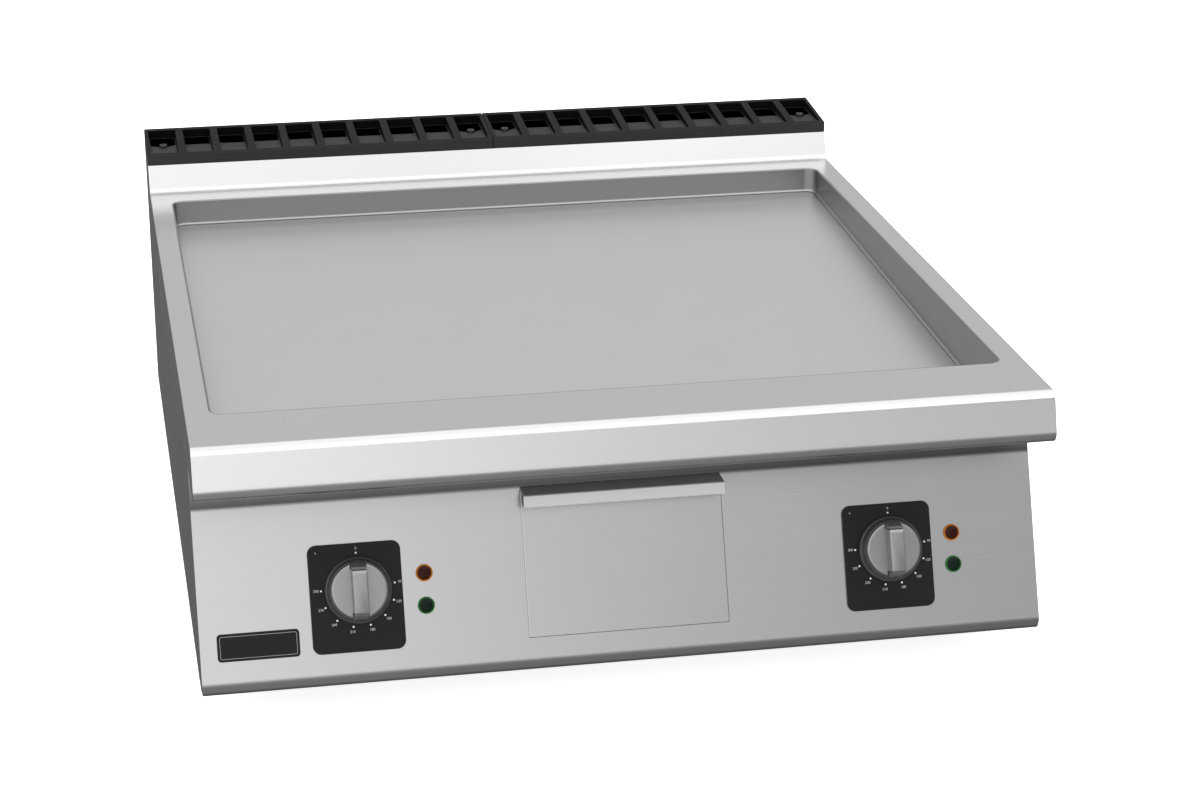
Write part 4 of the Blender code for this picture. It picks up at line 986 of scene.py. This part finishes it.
# ---- CAD nodes that keep their shape ------------------------------------------------------
KEPT = {
    "steel_y": ["side_panel_left", "side_panel_right"],
    "steel_x": ["rear_panel", "drawer_box"],
    "galvanised": ["base_tray", "heat_shield", "cross_rail_front", "cross_rail_rear",
                   "element_clamp_left", "element_clamp_right", "drawer_runner_left",
                   "drawer_runner_right"],
    "element": ["heating_element_left", "heating_element_right"],
    "fibre": ["insulation_pad"],
    "copper": ["thermostat_bulb_left", "thermostat_bulb_right"],
    "grey": ["terminal_block", "contactor", "thermostat_left", "thermostat_right"],
    "red": ["reset_button"],
    "zinc": ["thermostat_shaft_left", "thermostat_shaft_right"],
    "black": ["cable_gland", "safety_cutout", "wiring_loom_left", "wiring_loom_right",
              *[f"lamp_holder_{colour}_{name}" for colour in LAMP_UPS for _, name in SIDES]],
}
ROUND = ("heating_element", "thermostat_bulb", "wiring_loom", "reset_button", "thermostat_shaft",
         "lamp_holder", "cable_gland")


def dress_kept_nodes():
    """Give the remaining CAD nodes their finish and broken edges."""
    for finish, names in KEPT.items():
        for name in names:
            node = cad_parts[name]
            node.data.materials.clear()
            node.data.materials.append(FINISHES[finish])
            if not name.startswith(ROUND):
                width = 0.0004 if "side" in name or "rear" in name else 0.0003
                break_edges(node, width, 2, 35, True)


# ---- Stage --------------------------------------------------------------------------------
CAMERA_LENS = 85.67           # millimetres, on a sensor 36 mm wide
CAMERA_AT = (-0.4856, -2.8241, 1.2104)
CAMERA_DOWN = 20.43           # degrees below level
CAMERA_TURN = -10.84          # degrees from straight ahead, to the right
SOFTBOX_AT = (0.70, -1.00, 1.01)
SOFTBOX_SIZE = (0.80, 0.73)
SOFTBOX_TILT = 65.0
SOFTBOX_POWER = 0.55


def make_camera():
    """Camera of the reference view."""
    data = bpy.data.cameras.new("camera")
    data.lens = CAMERA_LENS
    data.sensor_width = 36.0
    made = bpy.data.objects.new("camera", data)
    scene.collection.objects.link(made)
    made.location = CAMERA_AT
    made.rotation_euler = (math.radians(90.0 - CAMERA_DOWN), 0.0, math.radians(CAMERA_TURN))
    scene.camera = made


def make_floor():
    """Plain pale floor with a glow of its own, left out of the metal's mirror images."""
    bm = bmesh.new()
    bmesh.ops.create_grid(bm, x_segments=1, y_segments=1, size=25.0)
    floor = new_object("floor", bm)
    made, _, shader = new_material("floor_white", (0.93, 0.93, 0.93), 0.9, 0.0,
                                   Specular_IOR_Level=0.0, Emission_Strength=0.8)
    shader.inputs["Emission Color"].default_value = (1.0, 1.0, 1.0, 1.0)
    floor.data.materials.append(made)
    floor.visible_glossy = False


# Each sky is a list of heights, from 0 straight down to 1 straight up, with their brightness.
LEFT_SKY = ((0.30, 0.32), (0.42, 0.45), (0.46, 0.56), (0.50, 0.80), (0.580, 1.82), (0.655, 1.52),
            (0.72, 1.26), (0.78, 1.9), (0.90, 1.9), (1.0, 1.4))
RIGHT_SKY = ((0.30, 0.22), (0.42, 0.30), (0.46, 0.38), (0.50, 0.48), (0.580, 0.84), (0.655, 0.22),
             (0.71, 0.80), (0.75, 1.9), (0.90, 1.9), (1.0, 1.4))
BACK_SKY = ((0.42, 0.11), (0.50, 0.40), (0.60, 0.60), (0.70, 0.66), (0.76, 0.62), (0.84, 1.45),
            (1.0, 1.4))
SKY_SCALE = 2.0               # ramps hold the brightness over this
RIGHT_FADE = (0.00, 0.25)     # sideways share of a direction, from the left sky to the right one
BACK_FADE = (-0.25, 0.25)     # the same from front to back


def make_world():
    """Soft studio dome: bright overhead, darker below, dimmer at the right and behind."""
    world = bpy.data.worlds.new("studio")
    scene.world = world
    world.use_nodes = True
    tree = world.node_tree
    coords = add(tree, "ShaderNodeTexCoord")
    split = add(tree, "ShaderNodeSeparateXYZ")
    tree.links.new(coords.outputs["Generated"], split.inputs["Vector"])
    height = ranged(tree, split.outputs["Z"], 0.0, 1.0, -1.0, 1.0)
    skies = []
    for stops in (LEFT_SKY, RIGHT_SKY, BACK_SKY):
        ramp = add(tree, "ShaderNodeValToRGB")
        ramp.color_ramp.interpolation = "EASE"
        elements = ramp.color_ramp.elements
        while len(elements) < len(stops):
            elements.new(0.5)
        for element, (at, value) in zip(elements, stops):
            element.position = at
            element.color = (*[value / SKY_SCALE] * 3, 1.0)
        tree.links.new(height, ramp.inputs["Fac"])
        skies.append(ramp.outputs["Color"])
    sky = skies[0]
    for axis, reach, other in (("X", RIGHT_FADE, skies[1]), ("Y", BACK_FADE, skies[2])):
        mix = add(tree, "ShaderNodeMix", data_type="RGBA")
        tree.links.new(ranged(tree, split.outputs[axis], 0.0, 1.0, *reach), mix.inputs["Factor"])
        tree.links.new(sky, mix.inputs["A"])
        tree.links.new(other, mix.inputs["B"])
        sky = mix.outputs["Result"]
    background = tree.nodes["Background"]
    background.inputs["Strength"].default_value = SKY_SCALE
    tree.links.new(sky, background.inputs["Color"])


def make_softbox():
    """Soft light high in front, for the right half of the upstand."""
    data = bpy.data.lights.new("softbox", "AREA")
    data.shape = "RECTANGLE"
    data.size, data.size_y = SOFTBOX_SIZE
    data.energy = SOFTBOX_POWER
    made = bpy.data.objects.new("softbox", data)
    scene.collection.objects.link(made)
    made.location = SOFTBOX_AT
    made.rotation_euler = (math.radians(SOFTBOX_TILT), 0.0, 0.0)
    made.visible_camera = False


# ---- Assembly -----------------------------------------------------------------------------
make_camera()
make_floor()
make_world()
make_softbox()
make_worktop()
make_recess()
make_plate()
make_front_panel()
make_rear_screws()
for number, hand in SIDES:
    make_grille(number, hand)
    make_dial(number, hand)
    make_knob(number, hand)
    for lamp in LAMP_UPS:
        make_lamp(number, hand, lamp)
make_badge()
make_drawer()
make_feet()
dress_kept_nodes()
